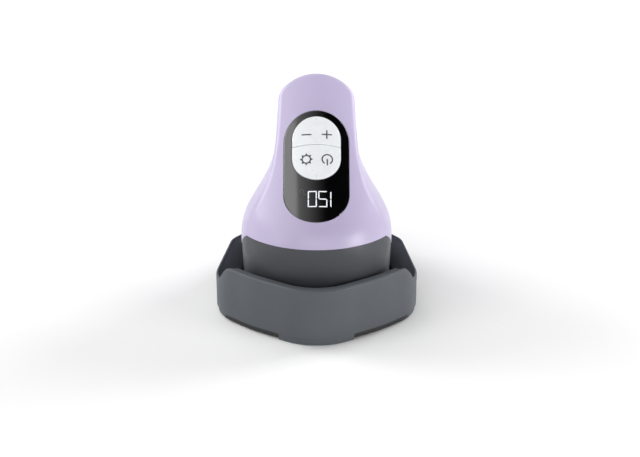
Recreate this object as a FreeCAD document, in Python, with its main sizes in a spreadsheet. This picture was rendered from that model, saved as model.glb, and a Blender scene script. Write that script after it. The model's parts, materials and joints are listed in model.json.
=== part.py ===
import FreeCAD, Part
import math
import os

# Mini heat press for iron-on craft film, standing in its insulated safety dock.
# Frame: millimetres, +Z up, the dock stands on z = 0, the pointed front faces -Y,
# x = 0 is the mirror plane and the origin is the middle of the footprint.

Vec = FreeCAD.Vector
doc = FreeCAD.newDocument("mini_heat_press")

# ---------------------------------------------------------------- driving sizes
SIZES = {
    # dock
    "front_y": -57.0,
    "dock_half_width": 50.1,
    "dock_length": 114.0,
    "dock_wall": 4.0,
    "dock_skirt_z": 4.0,
    "dock_floor": 3.0,
    "dock_front_rim": 29.0,
    "dock_side_rim": 20.0,
    "cover_inset": 2.3,
    "ramp_rim": 1.4,
    "ramp_end": 12.0,
    "ramp_low": 10.0,
    "pocket_gap": 1.5,
    "cover_z": 1.2,
    "cover_thick": 2.8,
    "foot_thick": 1.2,
    "front_foot_width": 35.5,
    "mat_thick": 2.0,
    "rib_height": 2.9,
    "rib_width": 3.0,
    # press body skin
    "facet_slope": 43.5,
    "facet_radius": 41.0,
    "facet_foot_y": 11.0,
    "facet_foot_z": 52.0,
    "nose_radius": 38.1,
    "nose_y": 8.5,
    "vault_radius": 22.3,
    "vault_tilt": 30.0,
    "vault_reach": 83.4,
    "shell_wall": 2.2,
    "collar_step": 0.25,
    "collar_bottom": 14.5,
    "seam_front": 45.5,
    "seam_rear": 21.5,
    # hot end
    "plate_z": 12.0,
    "plate_thick": 5.0,
    "plate_inset": 3.4,
    "element_radius": 2.2,
    "element_span": 16.0,
    "pad_z": 23.0,
    "pad_thick": 4.0,
    "shield_z": 27.2,
    "shield_thick": 0.8,
    "chassis_z": 31.0,
    "chassis_thick": 3.0,
    "standoff_radius": 3.6,
    "screw_radius": 1.5,
    "screw_head": 2.8,
    # electronics
    "board_thick": 1.6,
    "power_board_width": 44.0,
    "power_board_length": 44.0,
    "power_board_z": 37.0,
    "control_board_width": 27.0,
    "control_board_length": 52.0,
    "control_board_depth": 13.0,
    # panel
    "lens_half_width": 15.4,
    "lens_start": 6.5,
    "lens_end": 63.6,
    "key_half_width": 11.4,
    "key_start": 28.0,
    "key_end": 60.3,
    "key_split": 45.8,
    "key_gap": 0.25,
    "key_proud": 0.8,
    "pivot_depth": 6.2,
    "pivot_radius": 1.1,
    # cord inlet
    "inlet_radius": 3.5,
    "inlet_outer": 6.2,
    "inlet_z": 46.0,
    "inlet_length": 9.0,
}

sheet = doc.addObject("Spreadsheet::Sheet", "sizes")
for row, (alias, value) in enumerate(SIZES.items(), start=1):
    sheet.set("A%d" % row, alias.replace("_", " "))
    sheet.set("B%d" % row, str(value))
    sheet.setAlias("B%d" % row, alias)
doc.recompute()


def size(alias):
    return float(sheet.get(alias))


FRONT = size("front_y")
SLOPE = math.radians(size("facet_slope"))
ACROSS = Vec(1, 0, 0)
UPHILL = Vec(0, math.cos(SLOPE), math.sin(SLOPE))
OUTWARD = Vec(0, -math.sin(SLOPE), math.cos(SLOPE))
FACET = Vec(0, FRONT + size("facet_foot_y"), size("facet_foot_z"))
FACET_TURN = FreeCAD.Rotation(ACROSS, UPHILL, OUTWARD, "XYZ")
FACET_PLACE = FreeCAD.Placement(FACET, FACET_TURN)
ORIGIN = FreeCAD.Placement()

parts = []


def keep(obj, name):
    """Name an object as one node of the finished part."""
    obj.Label = name
    parts.append(obj)
    return obj


def bind(obj, **cells):
    """Tie properties of an object to cells of the sheet."""
    for prop, cell in cells.items():
        obj.setExpression(prop.replace("__", "."), cell)
    return obj


def feature(name, shape):
    obj = doc.addObject("Part::Feature", name)
    obj.Shape = shape
    return obj


# ---------------------------------------------------------------- outlines
def mirrored(points):
    """Close a right-hand run of (x, y, radius) with its left-hand mirror image."""
    left = [(-x, y, r) for x, y, r in reversed(points) if abs(x) > 1e-6]
    return points + left


def rounded(points):
    """Turn (x, y, radius) corners into lines and tangent arcs."""
    count = len(points)
    runs = []
    for i in range(count):
        bx, by, radius = points[i]
        ax, ay, _ = points[i - 1]
        cx, cy, _ = points[(i + 1) % count]
        here = Vec(bx, by, 0)
        before = (Vec(ax, ay, 0) - here).normalize()
        after = (Vec(cx, cy, 0) - here).normalize()
        if radius <= 0:
            runs.append((here, here, None))
            continue
        half_turn = (math.pi - before.getAngle(after)) / 2
        reach = radius * math.tan(half_turn)
        start = here + before * reach
        end = here + after * reach
        middle = (before + after).normalize()
        depth = radius / math.cos(half_turn) - radius
        runs.append((start, end, here + middle * depth))
    curves = []
    for i in range(count):
        start, end, middle = runs[i]
        following = runs[(i + 1) % count][0]
        if middle is not None:
            curves.append(Part.Arc(start, middle, end))
        if end.distanceToPoint(following) > 1e-6:
            curves.append(Part.LineSegment(end, following))
    return curves


def inset_outline(points, inset):
    """Move every side of a rounded outline inwards by the same distance."""
    count = len(points)
    out = []
    for i in range(count):
        bx, by, radius = points[i]
        ax, ay, _ = points[i - 1]
        cx, cy, _ = points[(i + 1) % count]
        first = Vec(bx - ax, by - ay, 0).normalize()
        second = Vec(cx - bx, cy - by, 0).normalize()
        n1 = Vec(-first.y, first.x, 0)
        n2 = Vec(-second.y, second.x, 0)
        scale = inset / (1 + n1.dot(n2))
        spot = Vec(bx, by, 0) + (n1 + n2) * scale
        out.append((spot.x, spot.y, max(radius - inset, 1.0) if radius > 0 else 0))
    return out


def bar(x0, y0, x1, y1, radius=0.0):
    return [(x0, y0, radius), (x1, y0, radius), (x1, y1, radius), (x0, y1, radius)]


def stadium(half_width, start, end):
    """A slot shape with round ends, along y."""
    low = start + half_width
    high = end - half_width
    right = half_width
    return [
        Part.LineSegment(Vec(right, low, 0), Vec(right, high, 0)),
        Part.Arc(Vec(right, high, 0), Vec(0, end, 0), Vec(-right, high, 0)),
        Part.LineSegment(Vec(-right, high, 0), Vec(-right, low, 0)),
        Part.Arc(Vec(-right, low, 0), Vec(0, start, 0), Vec(right, low, 0)),
    ]


# ---------------------------------------------------------------- PartDesign helpers
def plane_of(body, role):
    for item in body.Origin.OriginFeatures:
        if item.Role == role:
            return item
    raise RuntimeError("no " + role)


def sketch_on(body, name, curves, role="XY_Plane", lift=None):
    sketch = body.newObject("Sketcher::SketchObject", name)
    sketch.AttachmentSupport = [(plane_of(body, role), "")]
    sketch.MapMode = "FlatFace"
    for curve in curves:
        sketch.addGeometry(curve, False)
    if lift is not None:
        sketch.setExpression("AttachmentOffset.Base.z", lift)
    return sketch


def padded(name, curves, lift, length, place=ORIGIN, role="XY_Plane"):
    """A body with one pad from the plane lift, as thick as the cell length."""
    body = doc.addObject("PartDesign::Body", name)
    body.Placement = place
    sketch = sketch_on(body, name + "_outline", curves, role, lift)
    pad = body.newObject("PartDesign::Pad", name + "_pad")
    pad.Profile = sketch
    pad.setExpression("Length", length)
    doc.recompute()
    return body


def add_pad(body, name, curves, lift, length):
    sketch = sketch_on(body, name + "_outline", curves, "XY_Plane", lift)
    pad = body.newObject("PartDesign::Pad", name)
    pad.Profile = sketch
    pad.setExpression("Length", length)
    doc.recompute()
    return pad


def pocket(body, name, curves, lift, length, role="XY_Plane", upward=True):
    """Cut a pocket and make sure that it removed material."""
    before = body.Shape.Volume
    sketch = sketch_on(body, name + "_outline", curves, role, lift)
    cut = body.newObject("PartDesign::Pocket", name)
    cut.Profile = sketch
    cut.setExpression("Length", length)
    cut.Reversed = upward
    doc.recompute()
    if body.Shape.Volume > before - 0.01:
        raise RuntimeError(name + " cuts nothing")
    return cut


def circles(spots, radius):
    return [Part.Circle(Vec(x, y, 0), Vec(0, 0, 1), radius) for x, y in spots]


def block(name, x0, y0, z0, x1, y1, z1, place=ORIGIN):
    box = doc.addObject("Part::Box", name)
    box.Length = x1 - x0
    box.Width = y1 - y0
    box.Height = z1 - z0
    box.Placement = place * FreeCAD.Placement(Vec(x0, y0, z0), FreeCAD.Rotation())
    return box


def rod(name, spot, axis, radius, length, place=ORIGIN):
    piece = doc.addObject("Part::Cylinder", name)
    piece.Radius = radius
    piece.Height = length
    turn = FreeCAD.Rotation(Vec(0, 0, 1), axis)
    piece.Placement = place * FreeCAD.Placement(spot, turn)
    return piece


def joined(name, items):
    fuse = doc.addObject("Part::MultiFuse", name)
    fuse.Shapes = items
    return fuse


def without(name, base, tool):
    cut = doc.addObject("Part::Cut", name)
    cut.Base = base
    cut.Tool = tool
    return cut


def within(name, base, tool):
    both = doc.addObject("Part::Common", name)
    both.Base = base
    both.Tool = tool
    return both


# ---------------------------------------------------------------- dock
HALF = size("dock_half_width")
DOCK = mirrored([
    (0.0, FRONT - 5.0, 28.9),
    (31.0, FRONT + 14.0, 60.0),
    (HALF, FRONT + 30.36, 22.0),
    (43.0, FRONT + 76.0, 12.0),
    (0.0, FRONT + 127.29, 24.0),
])

dock = padded("dock_walls", rounded(DOCK), "sizes.dock_skirt_z",
              "sizes.dock_front_rim - sizes.dock_skirt_z")
inner = inset_outline(DOCK, size("dock_wall"))
pocket(dock, "dock_hollow", rounded(inner), "sizes.dock_skirt_z + sizes.dock_floor", "60")
rim = [
    (FRONT + 24.3, size("dock_front_rim") + 0.01, 0),
    (FRONT + 30.8, size("dock_side_rim"), 1.5),
    (FRONT + 130.0, size("dock_side_rim"), 0),
    (FRONT + 130.0, 60.0, 0),
    (FRONT + 24.3, 60.0, 0),
]
pocket(dock, "dock_rim_step", rounded(rim), "-80", "160", "YZ_Plane")
foot_spots = [(-36.0, FRONT + 34.0), (36.0, FRONT + 34.0), (-26.0, FRONT + 84.0), (26.0, FRONT + 84.0)]
pocket(dock, "dock_screw_holes", circles(foot_spots, 1.1), "sizes.dock_skirt_z", "2.2")

cover_line = inset_outline(DOCK, size("cover_inset"))
cover = padded("dock_bottom_cover", rounded(cover_line), "sizes.cover_z", "sizes.cover_thick")
notch = size("front_foot_width") / 2 + 0.2
pocket(cover, "foot_notch", rounded(bar(-notch, FRONT - 5, notch, FRONT + 14.2)), "0", "6")
pocket(cover, "cover_screw_holes", circles(foot_spots, 1.7), "0", "6")
pocket(cover, "cover_screw_heads", circles(foot_spots, 3.1), "0", "sizes.cover_z + 1.4")
keep(cover, "dock_bottom_cover")

foot_line = rounded(inset_outline(DOCK, 0.5))
foot_slab = padded("foot_slab", foot_line, "0", "sizes.dock_skirt_z")
foot_width = size("front_foot_width") / 2
foot_box = block("foot_box", -foot_width, FRONT - 2, -1, foot_width, FRONT + 14, 9)
keep(within("foot_front", foot_slab, foot_box), "foot_front")
for side, label in ((1, "foot_right"), (-1, "foot_left")):
    xs = sorted((side * 37.0, side * 43.2))
    pad_line = bar(xs[0], FRONT + 31.5, xs[1], FRONT + 43.5, 3.0)
    keep(padded(label, rounded(pad_line), "0", "sizes.foot_thick"), label)
rear_line = bar(-16.0, FRONT + 96.0, 16.0, FRONT + 104.0, 3.0)
keep(padded("foot_rear", rounded(rear_line), "0", "sizes.foot_thick"), "foot_rear")

screws = []
for i, (x, y) in enumerate(foot_spots):
    head = rod("dock_screw_head_%d" % i, Vec(x, y, 1.4), Vec(0, 0, 1), 2.8, 1.2)
    shank = rod("dock_screw_shank_%d" % i, Vec(x, y, 2.5), Vec(0, 0, 1), 1.1, 3.6)
    screws.append(joined("dock_screw_%d" % i, [head, shank]))
dock_screws = doc.addObject("Part::Compound", "dock_screws")
dock_screws.Links = screws
keep(dock_screws, "dock_screws")

MAT = mirrored([
    (0.0, FRONT + 0.4, 24.3),
    (28.26, FRONT + 17.72, 40.0),
    (38.08, FRONT + 26.13, 6.0),
    (28.8, FRONT + 85.7, 6.0),
    (0.0, FRONT + 120.1, 19.4),
])
mat = padded("rest_mat", rounded(MAT), "sizes.dock_skirt_z + sizes.dock_floor", "sizes.mat_thick")
rib = size("rib_width") / 2
for i, (y, reach) in enumerate(((24.0, 24.0), (40.0, 28.0), (56.0, 28.0), (72.0, 26.0), (88.0, 18.0))):
    line = bar(-reach, FRONT + y - rib, reach, FRONT + y + rib, 1.2)
    add_pad(mat, "rest_rib_%d" % i, rounded(line),
            "sizes.dock_skirt_z + sizes.dock_floor + sizes.mat_thick", "sizes.rib_height")
keep(mat, "rest_mat")

# ---------------------------------------------------------------- skin of the press
# Control points of the horizontal sections, front to rear, for the wide base and the handle,
# and how far each point runs ahead of the flare on its way to the handle.
BASE_RING = [(0, 3), (10, 3), (24, 9), (34, 24), (37.2, 46), (36, 68), (29, 88), (15, 104.5), (0, 104.5)]
GRIP_RING = [(0, 22), (10, 22), (17.6, 29), (19.1, 44), (18.9, 58), (18.2, 76), (16, 92), (9, 97.5), (0, 97.5)]
RING_LEAD = [0, 0, 0, 0, 3, 8, 11, 11, 11]
# Half width of the side flare against height.
FLARE = [
    (8, 35.2), (20, 35.8), (36, 36.4), (41.7, 36.4), (47.5, 36.0), (51.7, 34.4), (56, 31.6), (60, 28.9),
    (65.2, 25.3), (69, 23.4), (72.9, 21.7), (77, 20.1), (81.5, 19.2), (88, 18.8), (97, 18.7), (140, 18.5),
]
LEVELS = [8.0, 20.0, 32.0, 40.0, 46.0, 51.0, 56.0, 61.0, 67.0, 74.0, 83.0, 97.0, 122.0]


def flare(z):
    for (z0, w0), (z1, w1) in zip(FLARE, FLARE[1:]):
        if z <= z1:
            return w0 + (w1 - w0) * (max(z, z0) - z0) / (z1 - z0)
    return FLARE[-1][1]


def ring(z, inset):
    """Control points of one horizontal section, moved inwards by inset."""
    spots = []
    for (bx, by), (gx, gy), lead in zip(BASE_RING, GRIP_RING, RING_LEAD):
        at = z + lead * min(1.0, max(0.0, (z - 20.0) / 20.0))
        width = flare(at)
        share = min(1.0, max(0.0, (36.4 - width) / 17.8)) if at > 41.0 else 0.0
        scale = width / (36.5 * (1 - share) + 18.8 * share)
        spots.append(((bx * (1 - share) + gx * share) * scale, by * (1 - share) + gy * share))
    moved = [Vec(0, FRONT + spots[0][1] + inset, z)]
    for before, here, after in zip(spots, spots[1:], spots[2:]):
        dx = after[0] - before[0]
        dy = after[1] - before[1]
        span = math.hypot(dx, dy)
        moved.append(Vec(here[0] - inset * dy / span, FRONT + here[1] + inset * dx / span, z))
    moved.append(Vec(0, FRONT + spots[-1][1] - inset, z))
    return moved


def closed_by_line(edge):
    ends = [v.Point for v in edge.Vertexes]
    return Part.Face(Part.Wire(Part.__sortEdges__([edge, Part.makeLine(ends[0], ends[-1])])))


def flank(inset):
    """Right half of the flared column, as one smooth surface closed by flat faces."""
    rings = [ring(z, inset) for z in LEVELS]
    across = len(rings[0])
    net = [[line[i] for line in rings] for i in range(across)]
    surface = Part.BSplineSurface()
    surface.buildFromPolesMultsKnots(
        net,
        [4] + [1] * (across - 4) + [4],
        [4] + [1] * (len(rings) - 4) + [4],
        [float(i) for i in range(across - 2)],
        [float(i) for i in range(len(rings) - 2)],
        False, False, 3, 3)
    side = surface.toShape()
    bottom = [e for e in side.Edges if e.BoundBox.ZMax < LEVELS[0] + 0.01][0]
    top = [e for e in side.Edges if e.BoundBox.ZMin > LEVELS[-1] - 0.01][0]
    middle = [e for e in side.Edges if e.BoundBox.XMax < 0.01]
    floor_face = closed_by_line(bottom)
    roof_face = closed_by_line(top)
    middle += [e for f in (floor_face, roof_face) for e in f.Edges if e.BoundBox.XMax < 0.01]
    mirror_face = Part.Face(Part.Wire(Part.__sortEdges__(middle)))
    shell = Part.makeShell([side, floor_face, roof_face, mirror_face])
    shell.sewShape()
    solid = Part.makeSolid(shell)
    if solid.Volume < 0:
        solid.reverse()
    return solid


def arched_prism(place, radius, shoulder, depth, back, length):
    """A bar along its own y with a round roof and room on both sides below it."""
    def spot(x, z):
        return place.multVec(Vec(x, -back, z))

    r = radius
    run = place.multVec(Vec(0, length - back, 0)) - place.multVec(Vec(0, -back, 0))
    low = [spot(r, shoulder - r), spot(r + 40, shoulder - r), spot(r + 40, -depth),
           spot(-r - 40, -depth), spot(-r - 40, shoulder - r), spot(-r, shoulder - r)]
    edges = [Part.Arc(low[-1], spot(0, shoulder), low[0]).toShape()]
    edges += [Part.makeLine(a, b) for a, b in zip(low, low[1:])]
    return Part.Face(Part.Wire(edges)).extrude(run)


def narrow_prism(place, radius, shoulder, depth, back, length):
    """The same bar, but with straight sides below its round roof."""
    def spot(x, z):
        return place.multVec(Vec(x, -back, z))

    r = radius
    run = place.multVec(Vec(0, length - back, 0)) - place.multVec(Vec(0, -back, 0))
    low = [spot(r, shoulder - r), spot(r, -depth), spot(-r, -depth), spot(-r, shoulder - r)]
    edges = [Part.Arc(low[-1], spot(0, shoulder), low[0]).toShape()]
    edges += [Part.makeLine(a, b) for a, b in zip(low, low[1:])]
    return Part.Face(Part.Wire(edges)).extrude(run)


def nose(inset):
    """The rounded upright front, and all the room behind it."""
    radius = size("nose_radius")
    middle = FRONT + size("nose_y") + radius
    r = radius - inset
    turn = FreeCAD.Rotation(Vec(1, 0, 0), Vec(0, 0, 1), Vec(0, -1, 0), "XYZ")
    place = FreeCAD.Placement(Vec(0, middle - radius, 0), turn)
    return arched_prism(place, r, -inset, 160.0, 20.0, 200.0)


def form(inset):
    """The whole outer form of the press, moved inwards by inset."""
    vault_turn = FreeCAD.Rotation(Vec(1, 0, 0), -size("vault_tilt"))
    crest = FACET + UPHILL * size("vault_reach")
    vault_place = FreeCAD.Placement(crest, vault_turn)
    half = flank(inset).common(nose(inset))
    facet_radius = size("facet_radius") - inset
    half = half.common(narrow_prism(FACET_PLACE, facet_radius, -inset, 190.0, 120.0, 300.0))
    half = half.common(arched_prism(vault_place, size("vault_radius") - inset, -inset, 200.0, 60.0, 200.0))
    return half.fuse(half.mirror(Vec(0, 0, 0), ACROSS)).removeSplitter()


def side_prism(points, reach=80.0):
    """A prism across the whole part with the given (y, z) outline."""
    corners = [Vec(-reach, FRONT + y, z) for y, z in points]
    wire = Part.makePolygon(corners + [corners[0]])
    return Part.Face(wire).extrude(Vec(2 * reach, 0, 0))


def facet_prism(curves, low, high):
    """A prism square to the sloping panel, from depth low to height high."""
    wire = Part.Wire([c.toShape() for c in curves])
    wire.Placement = FACET_PLACE
    wire.translate(OUTWARD * low)
    return Part.Face(wire).extrude(OUTWARD * (high - low))


# Inside its side walls the dock falls in a ramp from the rim to a pocket that follows the
# press, and under each wide corner its skirt reaches down in a short foot.
def outline_prism(inset, low, high):
    wire = Part.Wire([c.toShape() for c in rounded(inset_outline(DOCK, inset))])
    wire.translate(Vec(0, 0, low))
    return Part.Face(wire).extrude(Vec(0, 0, high - low))


floor_top = size("dock_skirt_z") + size("dock_floor")
side_top = size("dock_side_rim")
side_start = Vec(HALF + 0.8, FRONT + 25.2, 0)
side_along = (Vec(43.0, FRONT + 76.0, 0) - side_start).normalize()
side_inward = Vec(-side_along.y, side_along.x, 0)


def side_bar(points, start, length):
    """A bar along the side wall; points are (distance from the outer face, height)."""
    foot = side_start + side_along * start
    corners = [foot + side_inward * d + Vec(0, 0, z) for d, z in points]
    return Part.Face(Part.makePolygon(corners + [corners[0]])).extrude(side_along * length)


ramp_rim, ramp_end, ramp_low = size("ramp_rim"), size("ramp_end"), size("ramp_low")
ramp = side_bar([(ramp_rim, side_top), (ramp_end, ramp_low), (ramp_end, floor_top - 0.5), (-4.0, floor_top - 0.5),
                 (-4.0, side_top)], -14.0, 80.0).common(outline_prism(1.0, floor_top - 0.5, side_top))
above_ramp = side_bar([(ramp_rim, side_top), (ramp_end, ramp_low), (ramp_end, side_top + 15.0),
                       (ramp_rim, side_top + 15.0)], 5.5, 38.0)
room = form(-size("pocket_gap")).common(Part.makeBox(120, 160, 60, Vec(-60, FRONT - 10, floor_top + 0.02)))
lug_box = Part.makeBox(30, 19.0, 6, Vec(30, FRONT + 26.5, 0))
lug = outline_prism(0.75, 0.65, size("dock_skirt_z") + 0.5).cut(
    outline_prism(2.1, 0, size("dock_skirt_z") + 1)).common(lug_box)
flip = (Vec(0, 0, 0), ACROSS)
tray = dock.Shape.fuse([ramp, ramp.mirror(*flip)]).cut([above_ramp, above_ramp.mirror(*flip), room])
tray = tray.fuse([lug, lug.mirror(*flip)])
keep(feature("dock_shell", tray.removeSplitter()), "dock_shell")

SEAM = [(-20, size("seam_front")), (9.0, size("seam_front")), (17.0, 44.7), (30.0, 43.1), (42.0, 33.8),
        (56.0, 26.5), (70.0, size("seam_rear")), (140.0, size("seam_rear"))]
below_seam = side_prism(SEAM + [(140.0, size("collar_bottom")), (-20.0, size("collar_bottom"))])
above_seam = side_prism(SEAM + [(140.0, 150.0), (-20.0, 150.0)])
PARTING = [(29.3, 20.0), (29.3, 43.2), (41.3, 71.5), (60.0, 89.5), (76.0, 102.0), (90.0, 111.0), (110, 124)]
ahead = side_prism(PARTING + [(110.0, 150.0), (-30.0, 150.0), (-30.0, 20.0)])
behind = side_prism(PARTING + [(150.0, 124.0), (150.0, 20.0)])

wall = size("shell_wall")
outer_form = form(0.0)
inner_form = form(wall)
collar_form = form(size("collar_step"))
collar_room = form(wall + 0.4)

collar = collar_form.common(below_seam).cut(collar_room)
keep(feature("collar", collar), "collar")

lens_hole = facet_prism(stadium(size("lens_half_width") + 0.15, size("lens_start") - 0.15,
                                size("lens_end") + 0.15), -14.0, 8.0)
skin = outer_form.cut(inner_form).common(above_seam)
front = skin.common(ahead).cut(lens_hole)
panel_room = facet_prism(stadium(size("lens_half_width") + 1.6, size("lens_start") - 1.6,
                                 size("lens_end") + 1.6), -6.5, 8.0)
rear = skin.common(behind).cut(panel_room)

# Screw bosses join the two shells: two low ones at the sides and one in the handle.
BOSSES = [(-19.0, 51.0, 40.0, 60.0), (19.0, 51.0, 40.0, 60.0), (0.0, 98.5, 66.0, 76.0)]
boss_shapes = []
screw_shapes = []
for x, z, start, meet in BOSSES:
    front_rod = Part.makeCylinder(3.4, meet - 20.0, Vec(x, FRONT + 20.0, z), Vec(0, 1, 0))
    rear_rod = Part.makeCylinder(3.4, 120.0 - meet, Vec(x, FRONT + meet, z), Vec(0, 1, 0))
    bore = Part.makeCylinder(1.3, 12.0, Vec(x, FRONT + meet - 10.0, z), Vec(0, 1, 0))
    clearance = Part.makeCylinder(1.7, 120.0 - meet, Vec(x, FRONT + meet, z), Vec(0, 1, 0))
    sink = Part.makeCylinder(2.7, 60.0, Vec(x, FRONT + meet + 8.0, z), Vec(0, 1, 0))
    front = front.fuse(front_rod.common(inner_form).common(ahead).cut(lens_hole)).cut(bore)
    rear = rear.fuse(rear_rod.common(inner_form).common(above_seam)).cut(clearance).cut(sink)
    head = Part.makeCylinder(2.5, 2.0, Vec(x, FRONT + meet + 8.0, z), Vec(0, 1, 0))
    shank = Part.makeCylinder(1.3, 17.0, Vec(x, FRONT + meet - 9.0, z), Vec(0, 1, 0))
    screw_shapes.append(head.fuse(shank))

# The cord enters through a bore low in the rear of the upper shell.
inlet_start = Vec(0, FRONT + 92.0, size("inlet_z"))
inlet_bore = Part.makeCylinder(size("inlet_outer"), 30.0, inlet_start, Vec(0, 1, 0))
rear = rear.cut(inlet_bore)
keep(feature("front_shell", front.removeSplitter()), "front_shell")
keep(feature("rear_shell", rear.removeSplitter()), "rear_shell")
keep(feature("shell_screws", Part.makeCompound(screw_shapes)), "shell_screws")

# ---------------------------------------------------------------- hot end
LEADS = [(-16.0, 88.3), (16.0, 88.3)]
POSTS = [(-25.0, 46.0), (25.0, 46.0), (0.0, 94.0)]


def slab(name, inset, low, high, holes=(), post_radius=None):
    """A flat plate that follows the form of the press, with room for posts and leads."""
    plate_form = feature(name + "_form", form(inset))
    layer = block(name + "_layer", -60, FRONT - 10, low, 60, FRONT + 120, high)
    obj = within(name + "_plate", plate_form, layer)
    tools = []
    for i, (x, y, r) in enumerate(holes):
        tools.append(rod("%s_hole_%d" % (name, i), Vec(x, FRONT + y, low - 1), Vec(0, 0, 1), r, high - low + 2))
    if post_radius is not None:
        for i, (x, y) in enumerate(POSTS):
            spot = Vec(x, FRONT + y, low - 1)
            tools.append(rod("%s_post_hole_%d" % (name, i), spot, Vec(0, 0, 1), post_radius, high - low + 2))
    if tools:
        obj = without(name, obj, joined(name + "_holes", tools))
    return obj


lead_holes = [(x, y, 3.0) for x, y in LEADS]
plate_top = size("plate_z") + size("plate_thick")
heating = within("heating_plate_body", feature("heating_plate_form", form(size("plate_inset"))),
                 block("heating_plate_layer", -60, FRONT - 10, size("plate_z"), 60, FRONT + 120, plate_top))
tapped = [rod("plate_tap_%d" % i, Vec(x, FRONT + y, size("plate_z") + 1.5), Vec(0, 0, 1), size("screw_radius"), 9)
          for i, (x, y) in enumerate(POSTS)]
keep(without("heating_plate", heating, joined("plate_taps", tapped)), "heating_plate")

# The heating element is a U of tube lying on the plate, open towards the rear.
span = size("element_span")
tube = size("element_radius")
element_z = plate_top + tube
bend = doc.addObject("Part::Torus", "element_bend")
bind(bend, Radius1="sizes.element_span", Radius2="sizes.element_radius")
bend.Angle1 = -180
bend.Angle2 = 180
bend.Angle3 = 180
bend.Placement = FreeCAD.Placement(Vec(0, FRONT + 46.0, element_z), FreeCAD.Rotation(Vec(0, 0, 1), 180))
legs = []
for i, x in enumerate((-span, span)):
    leg = rod("element_leg_%d" % i, Vec(x, FRONT + 46.0, element_z), Vec(0, 1, 0), tube, 36.0)
    bind(leg, Radius="sizes.element_radius")
    legs.append(leg)
keep(joined("heating_element", [bend] + legs), "heating_element")

clamps = []
for i, (x, y) in enumerate(((-span, 56.0), (span, 56.0), (-span, 74.0), (span, 74.0))):
    outer = block("clamp_block_%d" % i, x - 5, FRONT + y - 3, plate_top, x + 5, FRONT + y + 3, element_z + tube + 0.8)
    groove = rod("clamp_groove_%d" % i, Vec(x, FRONT + y - 5, element_z), Vec(0, 1, 0), tube + 0.05, 10)
    slot = block("clamp_slot_%d" % i, x - tube - 0.05, FRONT + y - 5, plate_top - 1,
                 x + tube + 0.05, FRONT + y + 5, element_z)
    clamps.append(without("clamp_%d" % i, outer, joined("clamp_room_%d" % i, [groove, slot])))
clamp_set = doc.addObject("Part::Compound", "element_clamps")
clamp_set.Links = clamps
keep(clamp_set, "element_clamps")

cutoff_body = rod("cutoff_can", Vec(0, FRONT + 40.0, plate_top), Vec(0, 0, 1), 6.0, 4.2)
cutoff_tabs = [block("cutoff_tab_%d" % i, x - 0.4, FRONT + 38.0, plate_top + 2.0, x + 0.4, FRONT + 42.0,
                     plate_top + 5.6) for i, x in enumerate((-3.0, 3.0))]
keep(joined("thermal_cutoff", [cutoff_body] + cutoff_tabs), "thermal_cutoff")
bead = rod("sensor_bead", Vec(0, FRONT + 66.0, plate_top + 1.0), Vec(0, 1, 0), 1.0, 6.0)
sensor_tag = block("sensor_tag", -3.0, FRONT + 62.0, plate_top, 3.0, FRONT + 67.0, plate_top + 0.6)
keep(joined("temperature_sensor", [bead, sensor_tag]), "temperature_sensor")

pad_top = size("pad_z") + size("pad_thick")
sleeve_room = size("standoff_radius") + 0.1
keep(slab("insulation_pad", 4.6, size("pad_z"), pad_top, lead_holes, sleeve_room), "insulation_pad")
shield_top = size("shield_z") + size("shield_thick")
keep(slab("heat_shield", 3.6, size("shield_z"), shield_top, lead_holes, sleeve_room), "heat_shield")
chassis_top = size("chassis_z") + size("chassis_thick")
deck = slab("chassis_deck", wall + 0.45, size("chassis_z"), chassis_top, lead_holes, size("screw_radius") + 0.2)

standoffs = []
plate_screws = []
for i, (x, y) in enumerate(POSTS):
    sleeve = rod("standoff_sleeve_%d" % i, Vec(x, FRONT + y, plate_top), Vec(0, 0, 1),
                 size("standoff_radius"), size("chassis_z") - plate_top)
    bind(sleeve, Radius="sizes.standoff_radius")
    hole = rod("standoff_hole_%d" % i, Vec(x, FRONT + y, plate_top - 1), Vec(0, 0, 1),
               size("screw_radius") + 0.2, size("chassis_z") - plate_top + 2)
    standoffs.append(without("standoff_%d" % i, sleeve, hole))
    shank = rod("plate_screw_shank_%d" % i, Vec(x, FRONT + y, size("plate_z") + 2.0), Vec(0, 0, 1),
                size("screw_radius"), chassis_top - size("plate_z") - 1.0)
    bind(shank, Radius="sizes.screw_radius")
    head = rod("plate_screw_head_%d" % i, Vec(x, FRONT + y, chassis_top), Vec(0, 0, 1), size("screw_head"), 2.0)
    bind(head, Radius="sizes.screw_head")
    plate_screws.append(joined("plate_screw_%d" % i, [shank, head]))
standoff_set = doc.addObject("Part::Compound", "standoffs")
standoff_set.Links = standoffs
keep(standoff_set, "standoffs")
plate_screw_set = doc.addObject("Part::Compound", "plate_screws")
plate_screw_set.Links = plate_screws
keep(plate_screw_set, "plate_screws")

# ---------------------------------------------------------------- power electronics
board_z = size("power_board_z")
board_w = size("power_board_width") / 2
BOARD_Y = 42.0
board_posts = [(x, y) for x in (-board_w + 4, board_w - 4) for y in (BOARD_Y + 4, BOARD_Y + size("power_board_length") - 4)]
post_rods = [rod("board_post_%d" % i, Vec(x, FRONT + y, chassis_top - 0.5), Vec(0, 0, 1), 2.6,
                 board_z - chassis_top + 0.5) for i, (x, y) in enumerate(board_posts)]
post_taps = [rod("board_tap_%d" % i, Vec(x, FRONT + y, chassis_top - 2), Vec(0, 0, 1), 1.0, 9)
             for i, (x, y) in enumerate(board_posts)]
chassis = without("chassis_frame", joined("chassis_with_posts", [deck] + post_rods), joined("board_taps", post_taps))
keep(chassis, "chassis")

board_curves = rounded(bar(-board_w, FRONT + BOARD_Y, board_w, FRONT + BOARD_Y + size("power_board_length"), 2.0))
power_board = padded("power_board", board_curves, "sizes.power_board_z", "sizes.board_thick")
pocket(power_board, "power_board_holes", circles([(x, FRONT + y) for x, y in board_posts], 1.2),
       "sizes.power_board_z - 1", "4")
keep(power_board, "power_board")
board_top = board_z + size("board_thick")

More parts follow.
